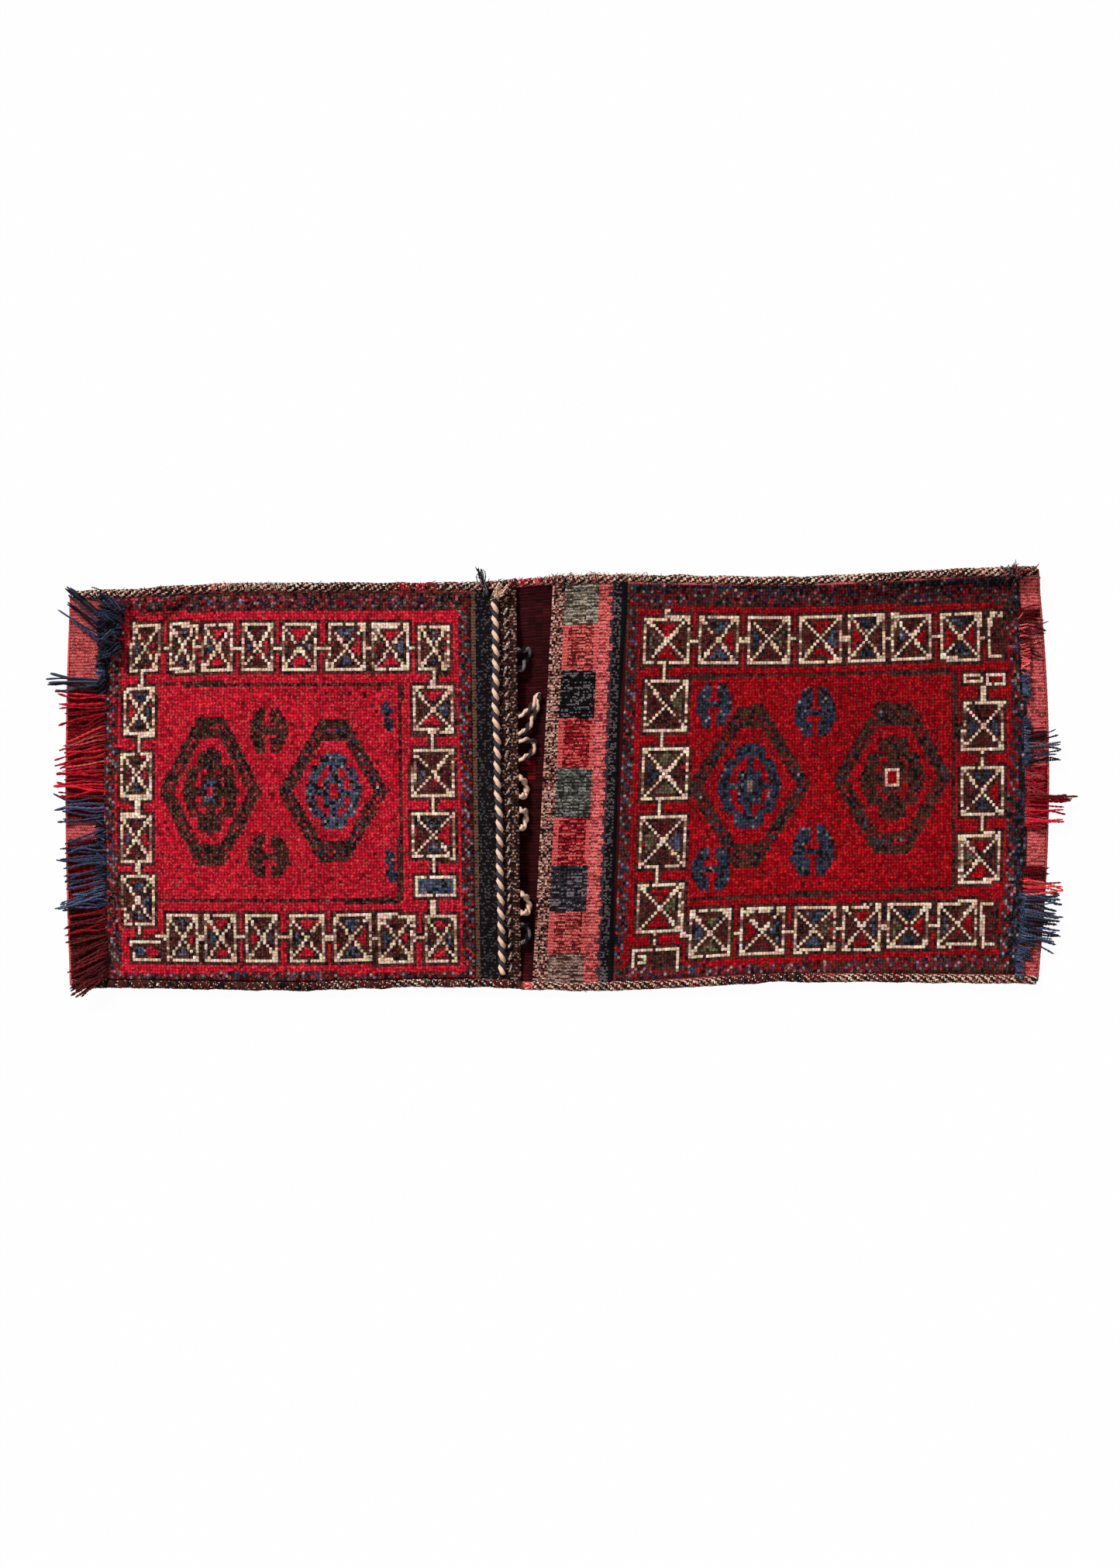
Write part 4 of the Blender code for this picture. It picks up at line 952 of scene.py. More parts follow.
def rope_mesh(name, paths, radius, pitch, dyes, apart=0.46, tips=0.6, phase=0.0):
    """Twisted yarns. Each path carries a section of two plies, whose middles lie this share of the
    radius from the path: the radius at an angle is the far side of the nearer ply's circle. It is
    turned once for each pitch of length and closed at both ends. dyes holds a colour for each path,
    or one for each ply of each path."""
    sides = 8
    paths = np.asarray(paths, float)
    count, stops = paths.shape[:2]
    along = np.gradient(paths, axis=1)
    along /= np.linalg.norm(along, axis=2, keepdims=True)
    upright = np.array((0.0, 0.0, 1.0)) + 0.02 * along[..., ::-1]
    beside = np.cross(along, upright)
    beside /= np.linalg.norm(beside, axis=2, keepdims=True)
    above = np.cross(beside, along)
    steps = np.linalg.norm(np.diff(paths, axis=1), axis=2)
    length = np.concatenate([np.zeros((count, 1)), np.cumsum(steps, 1)], 1)
    turn = 2 * math.pi * length / pitch + np.reshape(phase, (-1, 1))
    angle = 2 * math.pi * np.arange(sides) / sides
    section = apart * np.abs(np.cos(angle)) + np.sqrt((1 - apart) ** 2 - (apart * np.sin(angle)) ** 2)
    thick = np.full(stops, 1.0)
    thick[0] = thick[-1] = tips
    size = np.reshape(radius, (-1, 1, 1)) * thick[None, :, None] * section
    spin = angle[None, None, :] + turn[:, :, None]
    rings = paths[:, :, None] + size[..., None] * (
        np.cos(spin)[..., None] * beside[:, :, None] + np.sin(spin)[..., None] * above[:, :, None])
    index = np.arange(count * stops * sides).reshape(count, stops, sides)
    after = np.roll(index, -1, 2)
    quads = np.stack([index[:, :-1], index[:, 1:], after[:, 1:], after[:, :-1]], 3)
    order = np.array(((0, 1, 2, 3), (0, 3, 4, 7), (4, 5, 6, 7)))
    caps = np.concatenate([index[:, -1][:, order[:, ::-1]], index[:, 0][:, order]])
    dyes = np.asarray(dyes, float)
    if dyes.ndim == 2:
        dyes = np.repeat(dyes[:, None], 2, 1)
    ply = (np.cos(angle + math.pi / sides) < 0).astype(int)
    body = np.broadcast_to(dyes[:, None, ply, None, :], quads.shape + (3,))
    ends = np.broadcast_to(dyes[:, None, 0, None, :], (count, 3, 4, 3))
    colours = np.concatenate([body.reshape(-1, 3), np.tile(ends.reshape(-1, 3), (2, 1))])
    faces = [quads.reshape(-1, 4)[:, ::-1], caps.reshape(-1, 4)[:, ::-1]]
    return build_mesh(name, rings.reshape(-1, 3), faces, colours)


def strand_dyes(table, names, count, rng, spread=0.16):
    """A colour for each of a number of yarns, drawn from the named wools."""
    wools = np.array([WOOLS.index(name) for name in names])
    picked = table[wools[rng.integers(0, len(wools), count)]]
    return picked * uneven_dye((count,), rng, spread)


# Locks of fringe: node, side of the bag, slot, then bunches. A bunch is its first and last row on the
# drawing, the number of yarns, their length, their lean at both ends of the bunch, their spread, how
# many lie together at the tips, the layer and the wools.
FRINGES = (
    ("fringe_left_corner", -1, "navy_yarn", (
        (768, 890, 74, 15, -0.3, 0.1, 1.1, 1, 0, ("navy", "blue", "black")),
        (785, 885, 50, 14, -0.2, 0.4, 1.6, 1, 1, ("navy", "black", "blue", "black")),
        (776, 846, 76, 22, -0.5, 0.3, 1.2, 1, 3, ("navy", "blue", "black", "blue")),
        (796, 838, 12, 66, -0.88, -0.72, 0.06, 4, 2, ("navy", "black", "navy")),
        (768, 782, 4, 26, -0.6, -0.4, 0.8, 1, 2, ("navy", "black")),
        (879, 888, 6, 74, -0.10, 0.02, 0.08, 3, 1, ("navy", "black", "blue")),
    )),
    ("fringe_left_red", -1, "red_yarn", (
        (898, 920, 6, 58, 0.04, 0.14, 0.06, 2, 0, ("left_red", "left_red", "crimson")),
        (922, 950, 6, 42, 0.45, 0.62, 0.16, 2, 0, ("left_red", "crimson")),
        (936, 1000, 18, 58, 0.38, 0.06, 0.06, 3, 1, ("left_red", "ruby", "coral", "left_red")),
        (1002, 1030, 9, 60, 0.02, -0.04, 0.06, 3, 0, ("left_red", "left_red", "ruby")),
    )),
    ("fringe_left_navy", -1, "navy_yarn", (
        (1031, 1061, 9, 58, 0.02, 0.06, 0.06, 3, 0, ("navy", "navy", "blue")),
        (1062, 1086, 22, 14, 0.0, 0.4, 1.0, 1, 0, ("navy", "blue", "black")),
        (1070, 1076, 2, 58, 0.25, 0.32, 0.05, 1, 1, ("navy",)),
    )),
    ("fringe_left_blue", -1, "navy_yarn", (
        (1088, 1116, 9, 56, 0.02, 0.12, 0.08, 3, 0, ("navy", "blue", "navy")),
        (1118, 1142, 7, 50, 0.20, 0.30, 0.12, 3, 0, ("navy", "blue")),
        (1144, 1168, 9, 56, 0.34, 0.10, 0.08, 3, 1, ("navy", "blue")),
        (1090, 1166, 24, 15, 0.0, 0.2, 0.7, 1, 0, ("navy", "black")),
    )),
    ("fringe_left_maroon", -1, "dark_red_yarn", (
        (1171, 1206, 8, 54, 0.16, 0.30, 0.10, 2, 0, ("maroon", "crimson", "maroon")),
        (1210, 1236, 7, 54, 0.42, 0.66, 0.12, 2, 0, ("maroon", "maroon")),
        (1226, 1257, 18, 50, 0.50, 0.62, 0.20, 3, 1, ("bridge", "maroon", "maroon")),
        (1248, 1257, 4, 50, 0.75, 0.45, 0.20, 1, 2, ("maroon", "bridge")),
        (1172, 1252, 26, 15, 0.2, 0.6, 0.7, 1, 0, ("bridge", "maroon")),
    )),
    ("fringe_right_corner", 1, "dark_red_yarn", (
        (786, 797, 12, 24, 0.0, 0.1, 0.3, 1, 0, ("maroon", "crimson")),
        (798, 816, 5, 34, 0.0, 0.1, 0.2, 1, 0, ("bridge", "maroon")),
        (800, 866, 40, 13, 0.0, 0.2, 1.1, 1, 0, ("coral", "maroon", "salmon")),
        (832, 840, 3, 26, 0.1, 0.3, 0.2, 1, 0, ("maroon",)),
    )),
    ("fringe_right_navy", 1, "navy_yarn", (
        (870, 900, 34, 11, 0.0, 0.3, 1.0, 1, 0, ("blue", "blue", "navy")),
        (928, 986, 40, 9, 0.0, 0.3, 1.1, 1, 0, ("blue", "navy")),
        (943, 951, 6, 26, 0.0, 0.0, 0.1, 1, 0, ("maroon", "crimson")),
        (955, 957, 2, 44, -0.34, -0.20, 0.05, 1, 1, ("navy", "black")),
        (960, 963, 3, 44, 0.0, 0.04, 0.05, 3, 1, ("navy", "ashy")),
        (974, 983, 4, 46, 0.06, -0.10, 0.25, 2, 1, ("navy", "black")),
    )),
    ("fringe_right_red", 1, "red_yarn", (
        (989, 1066, 80, 26, 0.0, 0.2, 0.6, 1, 0, ("left_red", "coral", "left_red", "salmon")),
        (1024, 1034, 5, 60, 0.05, 0.0, 0.08, 2, 2, ("crimson", "maroon")),
        (1034, 1058, 6, 52, 0.05, -0.05, 0.25, 2, 1, ("left_red", "crimson")),
    )),
    ("fringe_right_maroon", 1, "dark_red_yarn", (
        (1118, 1131, 16, 29, 0.05, 0.1, 0.15, 1, 0, ("maroon", "maroon", "crimson")),
        (1132, 1153, 8, 50, 0.10, 0.02, 0.06, 4, 1, ("left_red", "coral")),
    )),
    ("fringe_right_blue", 1, "navy_yarn", (
        (1150, 1212, 30, 48, 0.10, 0.22, 0.10, 3, 1, ("navy", "blue", "blue", "black")),
        (1150, 1205, 44, 14, 0.0, 0.3, 0.8, 1, 0, ("blue", "navy")),
        (1196, 1232, 30, 19, 0.0, 0.2, 0.6, 1, 0, ("blue", "blue", "navy")),
        (1226, 1260, 26, 11, 0.0, 0.2, 0.6, 1, 0, ("blue", "navy")),
    )),
)
YARN_RADIUS = 0.00185
FLUFF_RADIUS = 0.00125
FLUFF_SPREAD = 0.5
YARN_GLOW = 1.45
YARN_UNEVEN = 0.34
RED_GLOW = 1.15
YARN_PITCH = 0.0052
YARN_STOPS = 15
YARN_ROOT = 0.0035
OVER_PILE = 0.022
ROOT_SPREAD = 0.9
LENGTH_SPREAD = 0.08
TIP_PULL = 0.62
YARN_WAVE = 0.022
YARN_BEND = 0.07
DROOP = 6.5
DROOP_SLOPE = 0.06
EDGE_SLOPE = 1.2
EDGE_RISE = 0.0035


def fringe_paths(front, bunch, rng):
    """Paths of one bunch of yarn ends. Each runs out from the pile's edge over the pocket's foot, leans
    and waves to its side, draws near its neighbours at the tip, and droops once it is past the fold."""
    top, bottom, count, reach, lean_top, lean_low, spread, together, layer, _ = bunch
    t = np.linspace(0, 1, YARN_STOPS)[None, :]
    root = np.linspace(top, bottom, count)[:, None] + rng.normal(0, ROOT_SPREAD, (count, 1))
    lean = np.linspace(lean_top, lean_low, count)[:, None]
    length = reach * PLAN_UNIT * np.clip(rng.normal(1, LENGTH_SPREAD, (count, 1)), 0.75, 1.25)
    slope = lean + rng.normal(0, spread * 0.5, (count, 1))
    run = length / np.hypot(1, slope)
    group = np.arange(count) // together
    home = np.array([root[group == number].mean() for number in group])[:, None]
    drawn = (home - root) * TIP_PULL * smooth(t)
    wave = rng.normal(0, YARN_WAVE, (count, 1))
    wave = wave * np.sin(math.pi * t * rng.uniform(1.2, 2.6, (count, 1)))
    bend = rng.normal(0, YARN_BEND, (count, 1)) * t * t
    x_out = run * t
    rows = (root + drawn) * PLAN_UNIT + (slope * t + wave + bend) * run
    y = PLAN_MIDDLE[1] * PLAN_UNIT - rows
    inward = rng.uniform(0.2, 1.0, (count, 1)) * OVER_PILE * (layer == 3)
    distance = front.foot + YARN_ROOT + inward - x_out
    spare = front.bow * (y / HALF_WIDTH) ** 2
    x = front.side * (HALF - distance - spare)
    half = np.abs(side_edge(x, 1)) * (y > 0) + np.abs(side_edge(x, -1)) * (y <= 0)
    inside = lift(x, np.clip(y / half, -1, 1) * HALF_WIDTH)
    past = np.clip(-distance - FLAT_WEAVE, 0, None)
    bed = 2 * FLAT_WEAVE + LAYER_GAP + inside + HILLS[0][1] + YARN_RADIUS * 0.6
    bed = bed + (PILE_WEAVE - FLAT_WEAVE) * np.clip((distance - front.foot) / YARN_ROOT, 0, 1) * (layer == 3)
    pile_up = YARN_RADIUS * (0.6 + 1.8 * layer + rng.uniform(0, 1.1, (count, 1)))
    z = bed + pile_up * smooth(t / 0.25) - DROOP * past ** 2 - DROOP_SLOPE * past
    edge = np.clip(np.abs(y) - (half - BINDING_GRIP), 0, None)
    z = z + np.clip(edge * EDGE_SLOPE, 0, EDGE_RISE)
    return np.stack([x, y, np.maximum(z, YARN_RADIUS * 1.2)], -1)


def knot_fringe(name, side, bunches, table, seed):
    """All bunches of one lock in one piece."""
    rng = np.random.default_rng(seed)
    front = LEFT if side < 0 else RIGHT
    glow = RED_GLOW if name.endswith("left_red") else YARN_GLOW
    paths, dyes, radii = [], [], []
    for bunch in bunches:
        paths.append(fringe_paths(front, bunch, rng))
        dyes.append(glow * strand_dyes(table, bunch[-1], bunch[2], rng, YARN_UNEVEN))
        radii.append(np.full(bunch[2], FLUFF_RADIUS if bunch[6] >= FLUFF_SPREAD else YARN_RADIUS))
    paths, dyes = np.concatenate(paths), np.concatenate(dyes)
    radius = np.concatenate(radii) * rng.uniform(0.8, 1.15, len(paths))
    return rope_mesh(name, paths, radius, YARN_PITCH, dyes, phase=rng.uniform(0, 6, len(paths)))


# Closing loops: node, Y of the root, reach in X, shift of the tip in Y, and the wools of the two plies
LOOPS = (
    ("loop_1", 0.158, 0.0165, 0.012, ("black", "ashy")),
    ("loop_2", 0.076, 0.0290, 0.036, ("cream", "charcoal")),
    ("loop_3", 0.044, 0.0230, 0.006, ("cream", "charcoal")),
    ("loop_4", -0.004, 0.0120, -0.004, ("cream", "cream")),
    ("loop_5", -0.045, 0.0110, 0.004, ("cream", "cream")),
    ("loop_6", -0.152, 0.0140, -0.006, ("cream", "cream")),
    ("loop_7", -0.192, 0.0130, 0.006, ("black", "ashy")),
)
LOOP_RADIUS = 0.0030
LOOP_SPREAD = 0.0115
LOOP_LEAD = 0.0015
LOOP_TURNS = 10
LOOP_STOPS = 73
LOOP_TWIST = 0.0230
LOOP_SWELL = 1.5


def loop_path(root, reach, shift):
    """A half ellipse from the mouth's edge down to the bridge and back, with a short lead at each end."""
    step = np.linspace(0, LOOP_TURNS + 2, LOOP_STOPS)
    turn = np.clip(math.pi * (step - 1) / LOOP_TURNS, 0, math.pi)
    out = np.sin(turn)
    lead = LOOP_LEAD * np.clip(np.minimum(step, LOOP_TURNS + 2 - step), 0, 1)
    rim = front_inner(LEFT, LEFT.mouth, root)
    floor = FLAT_WEAVE + CLEARANCE + LOOP_RADIUS
    x = rim[0] + CLEARANCE + lead + (reach - LOOP_RADIUS - LOOP_LEAD) * out
    y = rim[1] + LOOP_SPREAD * np.cos(turn) + shift * out * out
    z = floor + (rim[2] + FLAT_WEAVE / 2 - floor) * (1 - smooth(out))
    return np.stack([x, y, z], -1)


# The cord sewn beside the dark band of the left mouth, and the running stitches beside it
CORD_PLACE = 0.5314
CORD_LEAN = -0.0080
CORD_RADIUS = 0.0050
CORD_TWIST = 0.0180
CORD_APART = 0.34
CORD_WANDER = 0.0014
CORD_SEAT = 0.86
CORD_GLOW = 1.2
CORD_STOPS = 420
STITCH_PLACE = 0.5440
STITCH_PITCH = 0.0153
STITCH_LENGTH = 0.0090
STITCH_LEAN = 0.0042
STITCH_RADIUS = 0.0017
STITCH_TWIST = 0.004
STITCH_MARGIN = 0.014
STITCH_SLIP = 0.0008
STITCH_STOPS = 7
STITCH_WHITE = 0.45
STITCH_DYE = 0.48
STITCH_SINK = 0.0018


def mouth_cord_path():
    """A line across the left mouth, resting on the cloth, that wanders a little from side to side."""
    reach = HALF_WIDTH - SIDE_MARGIN - CORD_RADIUS
    across = np.linspace(-reach, reach, CORD_STOPS)
    wander = CORD_WANDER * hills(across, across * 0, 0.05, 61)
    path = front_top(LEFT, CORD_PLACE + CORD_LEAN * across + wander, across)
    path[:, 2] += CLEARANCE + CORD_RADIUS * CORD_SEAT
    return path


def stitch_paths(rng):
    """Short slanting stitches on the left mouth band, each rising from the cloth and going back into it."""
    count = int(2 * (HALF_WIDTH - STITCH_MARGIN) / STITCH_PITCH)
    middle = (np.arange(count) - (count - 1) / 2) * STITCH_PITCH + rng.normal(0, STITCH_SLIP, count)
    t = np.linspace(-0.5, 0.5, STITCH_STOPS)[None, :]
    long = rng.uniform(0.75, 1.15, (count, 1))
    across = middle[:, None] + t * STITCH_LENGTH * long
    place = STITCH_PLACE + rng.normal(0, STITCH_SLIP, (count, 1))
    place = place + t * STITCH_LEAN * rng.uniform(0.6, 1.4, (count, 1))
    path = front_top(LEFT, place, across)
    path[..., 2] += STITCH_RADIUS + STITCH_SINK * (1 - 8 * t * t)
    return path


# Loose ends at the far side: node, slot, start and its spread, end, how many, hump and wools
TUFTS = (
    ("tuft_dark", "dark_yarn", (-0.086, 0.228, 0.0150), (0.0015, 0.002, 0.0006),
     (-0.096, 0.256, 0.0155), 16, 0.002, ("black", "ashy")),
    ("tuft_pale", "cream_cord", (-0.077, 0.222, 0.0120), (0.002, 0.002, 0.0008),
     (-0.068, 0.234, 0.0170), 44, 0.0045, ("cream", "cream", "pale")),
    ("tuft_corner", "dark_red_yarn", (0.563, 0.250, 0.0170), (0.005, 0.002, 0.0008),
     (0.566, 0.259, 0.0180), 60, 0.004, ("maroon", "ashy", "black", "coral")),
)
TUFT_STOPS = 12
TUFT_RADIUS = 0.00105
TUFT_PITCH = 0.005
TUFT_PARTING = 2.2
TUFT_CURL = (0.0016, 0.0012, 0.0007)
TUFT_WAVES = 2.2
TUFT_GLOW = 1.15
TUFT_UNEVEN = 0.10
TUFT_TIPS = 0.25


def tuft_paths(start, spread, ends, count, rise, rng):
    """A bundle of yarn ends that leave one spot and part: each path runs from the spot to an end drawn
    round the far one, with a low hump and a little curl."""
    t = np.linspace(0, 1, TUFT_STOPS)[None, :, None]
    start = np.array(start) + rng.normal(0, 1, (count, 3)) * np.array(spread)
    end = np.array(ends) + rng.normal(0, 1, (count, 3)) * np.array(spread) * TUFT_PARTING
    path = start[:, None] + (end - start)[:, None] * t
    curl = rng.normal(0, 1, (count, 1, 3)) * np.array(TUFT_CURL)
    path = path + curl * np.sin(TUFT_WAVES * math.pi * t)
    path[..., 2] += (rise * 4 * t * (1 - t))[..., 0]
    return path


# Stretches of the far left binding that were mended in red, from and to along X, and other sizes
RED_WRAPS = ((-0.427, -0.410), (-0.198, -0.150))
# Painted shade and light of the wraps: the share of colour left in their grooves, and how much more their
# crests get
WRAP_GROOVE_SHADE = 0.44
WRAP_CREST_LIGHT = 0.84
WRAP_WANDER = 0.45
EDGE_WANDER = 0.0009
WRAP_UNEVEN = 0.30
LOWEST = 0.0003


def binding_mesh(name, side, start, end, stack, wools, table, seed):
    """Overcast yarn round the cloth's edge: a rounded square section, ridged by wraps that slant as they
    pass over it. A point's size grows with the sine of its place in the wrap. wools holds the dark
    ones, the pale ones and the pale share."""
    rng = np.random.default_rng(seed)
    steps = max(8, round((end - start) / BINDING_STEP))
    x = np.linspace(start, end, steps + 1)[:, None]
    turn = (2 * math.pi * np.arange(BINDING_SIDES) / BINDING_SIDES)[None, :]
    wrap = (x - start) / WRAP_PITCH + WRAP_SLANT * np.sin(turn) * side
    wrap = wrap + WRAP_WANDER * hills(x, x * 0, 0.016, seed + 4) + 0.15 * hills(x, turn, 0.006, seed + 5)
    ridge = np.abs(np.sin(math.pi * wrap)) ** 0.7
    uneven = 1 + 0.10 * hills(x, x * 0, 0.012, seed) + 0.08 * hills(x, turn, 0.0035, seed + 1)
    power = 2 / BINDING_SQUARENESS
    rise = np.sign(np.sin(turn)) * np.abs(np.sin(turn)) ** power
    out = np.sign(np.cos(turn)) * np.abs(np.cos(turn)) ** power
    half_high = stack / 2 + BINDING_CLEARANCE + BINDING_WALL * 0.85
    half_wide = (BINDING_GRIP + BINDING_CLEARANCE + BINDING_WALL) / 2
    middle = side_edge(x, side) - side * (half_wide - BINDING_CLEARANCE - BINDING_WALL)
    middle = middle + EDGE_WANDER * hills(x, x * 0, 0.022, seed + 2)
    swell = (WRAP_RELIEF * (ridge - 0.6)) * uneven + 0.0004 * hills(x, turn * 0.004, 0.0016, seed + 6)
    thick = lift(x, side * HALF_WIDTH) + stack / 2
    y = middle + side * out * (half_wide * uneven + swell)
    z = thick + rise * (half_high * (1 + 0.5 * (uneven - 1)) + swell)
    z = np.maximum(z, LOWEST)
    points = np.stack([np.broadcast_to(x, y.shape), y, z], -1)
    index = np.arange(points[..., 0].size).reshape(points.shape[:2])
    after = np.roll(index, -1, 1)
    quads = np.stack([index[:-1], index[1:], after[1:], after[:-1]], 2)
    number = np.floor(wrap).astype(int)[:-1] + 4
    dark, light, share = wools
    ground = table[[WOOLS.index(dark[k]) for k in rng.integers(0, len(dark), number.max() + 2)]]
    bright = table[[WOOLS.index(light[k]) for k in rng.integers(0, len(light), number.max() + 2)]]
    ply = np.sin(PLY_TURNS * turn + 2.2 * number) + 0.25 * rng.normal(0, 1, number.shape)
    many = share + 0.30 * hills(x[:-1], x[:-1] * 0, 0.045, seed + 3)
    pale = (ply > 1.15 - 1.6 * np.clip(many, 0, 1))[..., None]
    ground = ground[number]
    for first, last in RED_WRAPS if side > 0 else ():
        mended = (x[:-1] > first) & (x[:-1] < last) & (number % 5 < 3)
        ground[mended] = table[WOOLS.index("left_red")]
    dye = np.where(pale, bright[number], ground) * uneven_dye(number.shape, rng, WRAP_UNEVEN)
    dye = dye[:, :, None, :]
    # Painted shade in the grooves between wraps and painted light on their crests
    shade = WRAP_GROOVE_SHADE + WRAP_CREST_LIGHT * ridge
    corners = np.stack([shade[:-1], shade[1:], np.roll(shade, -1, 1)[1:], np.roll(shade, -1, 1)[:-1]], 2)
    colours = (dye * corners[..., None]).reshape(-1, 3)
    if side > 0:
        quads = quads[:, :, ::-1]
        colours = (dye * corners[:, :, ::-1, None]).reshape(-1, 3)
    first, last = index[:1], index[-1:]
    caps = [first if side > 0 else first[:, ::-1], last[:, ::-1] if side > 0 else last]
    ends = np.tile(table[WOOLS.index("brown")], (2 * BINDING_SIDES, 1))
    return build_mesh(name, points.reshape(-1, 3), [quads.reshape(-1, 4), *caps],
                      np.concatenate([colours, ends]))


# Loose ends along the bindings: from and to along X, side, how many, their reach and wools
FRAYS = (
    (-0.560, -0.430, 1, 40, 0.005, ("pale", "brown", "black")),
    (-0.430, -0.330, 1, 60, 0.006, ("pale", "cream", "earth", "brown")),
    (-0.330, -0.100, 1, 70, 0.005, ("black", "brown", "maroon")),
    (-0.210, -0.150, 1, 24, 0.006, ("left_red", "coral")),
    (-0.100, 0.120, 1, 120, 0.006, ("salmon", "cream", "black", "maroon")),
    (-0.020, 0.050, 1, 110, 0.006, ("coral", "maroon", "cream", "black")),
    (0.120, 0.560, 1, 90, 0.004, ("brown", "pale", "black")),
    (-0.560, 0.560, -1, 160, 0.004, ("black", "brown", "maroon", "pale")),
)
FRAY_RADIUS = 0.0006
FRAY_PITCH = 0.004
FRAY_STOPS = 6
FRAY_ROOTS = 0.007
FRAY_CURL = 0.6
FRAY_HUMP = 0.0012
FRAY_DROOP = 0.35
FRAY_TIPS = 0.3


def fray_paths(table, rng):
    """Short curved ends that leave the bindings' upper faces and lean outwards, with their dyes."""
    paths, dyes = [], []
    t = np.linspace(0, 1, FRAY_STOPS)[None, :]
    for start, end, side, count, reach, wools in FRAYS:
        x = rng.uniform(start, end, (count, 1))
        long = reach * rng.uniform(0.5, 1.2, (count, 1))
        root = side_edge(x, side) - side * rng.uniform(0.0, FRAY_ROOTS, (count, 1))
        top = EDGE_STACK + lift(x, side * HALF_WIDTH) + BINDING_WALL + BINDING_CLEARANCE
        y = root + side * long * t
        curl = rng.normal(0, FRAY_CURL, (count, 1)) * long * t ** 2
        past = np.clip(side * (y - side_edge(x, side)), 0, None)
        z = top + FRAY_HUMP * np.sin(math.pi * t) - FRAY_DROOP * past
        paths.append(np.stack(np.broadcast_arrays(x + curl, y, z), -1))
        dyes.append(strand_dyes(table, wools, count, rng))
    return np.concatenate(paths), np.concatenate(dyes)


class Signal:
    """One value of a shader. The signs of arithmetic on it add Math nodes."""

    def __init__(self, recipe, socket):
        self.recipe = recipe
        self.socket = socket

    def sibling(self, number):
        """Another output of the same node."""
        return Signal(self.recipe, self.socket.node.outputs[number])

    def _math(self, operation, *values):
        return self.recipe.node("ShaderNodeMath", {"operation": operation}, dict(enumerate(values)))

    def __add__(self, other):
        return self._math("ADD", self, other)

    __radd__ = __add__

    def __mul__(self, other):
        return self._math("MULTIPLY", self, other)

    __rmul__ = __mul__


class Recipe:
    """The nodes of a material or a world."""

    def __init__(self, owner):
        owner.use_nodes = True
        self.tree = owner.node_tree

    def node(self, kind, settings=None, inputs=None, output=0):
        """Adds a node, sets its settings first and then its sockets, and gives one of its outputs."""
        node = self.tree.nodes.new(kind)
        for key, value in (settings or {}).items():
            setattr(node, key, value)
        for key, value in (inputs or {}).items():
            self.feed(node.inputs[key], value)
        return Signal(self, node.outputs[output])

    def feed(self, socket, value):
        """Links a signal to a socket, or sets a plain value on it."""
        if isinstance(value, Signal):
            self.tree.links.new(value.socket, socket)
        else:
            socket.default_value = value

    def set(self, name, **values):
        """Feeds a ready node's sockets, named with underscores for spaces."""
        for key, value in values.items():
            self.feed(self.tree.nodes[name].inputs[key.replace("_", " ")], value)


def wool_material(name, grain, bump, sheen, threads=0.0):
    """Wool: the piece's own dye, broken up by fine fibres, with a soft sheen. Fibres are noise at two
    scales, and threads adds the small beads of flat weave along the cloth, as bumps and as painted light and
    shade along each bead."""
    material = bpy.data.materials.new(name)
    recipe = Recipe(material)
    dye = recipe.node("ShaderNodeAttribute", {"attribute_name": "dye"}, output="Color")
    place = recipe.node("ShaderNodeTexCoord", output="Object")
    fine = recipe.node("ShaderNodeTexNoise", {}, {"Vector": place, "Scale": grain, "Detail": 2.0})
    broad = recipe.node("ShaderNodeTexNoise", {}, {"Vector": place, "Scale": grain * 0.28, "Detail": 2.0})
    light = 0.28 + 0.86 * fine + 0.58 * broad
    height = fine + 0.6 * broad
    if threads:
        cloth = recipe.node("ShaderNodeUVMap", {"uv_map": "cloth"})
        along = recipe.node("ShaderNodeSeparateXYZ", {}, {0: cloth})
        ribs = along.sibling(1) * (1 / KNOT_ACROSS)
        rib = recipe.node("ShaderNodeMath", {"operation": "FLOOR"}, {0: ribs})
        turn = along * (2 * math.pi / THREAD) + rib * math.pi
        bead = recipe.node("ShaderNodeMath", {"operation": "SINE"}, {0: turn})
        # Painted light and shade: each thread's bead brighter on its crest and darker between beads
        light = light + threads * bead
        height = height + 0.8 * bead
    colour = recipe.node("ShaderNodeVectorMath", {"operation": "SCALE"}, {0: dye, "Scale": light})
    normal = recipe.node("ShaderNodeBump", {}, {"Height": height, "Strength": bump, "Distance": 0.0006})
    recipe.set("Principled BSDF", Base_Color=colour, Normal=normal, Roughness=0.92, Sheen_Weight=sheen,
               Sheen_Roughness=0.45, Specular_IOR_Level=0.08)
    return material


def finish_piece(piece, materials, slot, *nodes):
    """Gives a piece its materials and its body, and hides the CAD nodes it stands for. slot is not used."""
    for material in materials:
        piece.data.materials.append(material)
    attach(piece, "root")
    if nodes:
        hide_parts(*nodes)
    return piece


def shared_wool(name, **values):
    """The wool material of this name, made once."""
    return bpy.data.materials.get(name) or wool_material(name, **values)


def pile_wool():
    return shared_wool("knotted_wool", grain=620.0, bump=0.6, sheen=0.0)


def woven_wool():
    return shared_wool("flat_woven_wool", grain=700.0, bump=0.5, sheen=0.0, threads=0.20)


def spun_wool():
    return shared_wool("spun_wool", grain=900.0, bump=0.45, sheen=0.02)


def wool_property(wool, label, use):
    """A colour to set, which starts as this wool's dye."""
    return bpy.props.FloatVectorProperty(
        name=label, description=use, subtype="COLOR", size=3, min=0.0, max=1.0,
        default=tuple(linear(DYES[wool])))


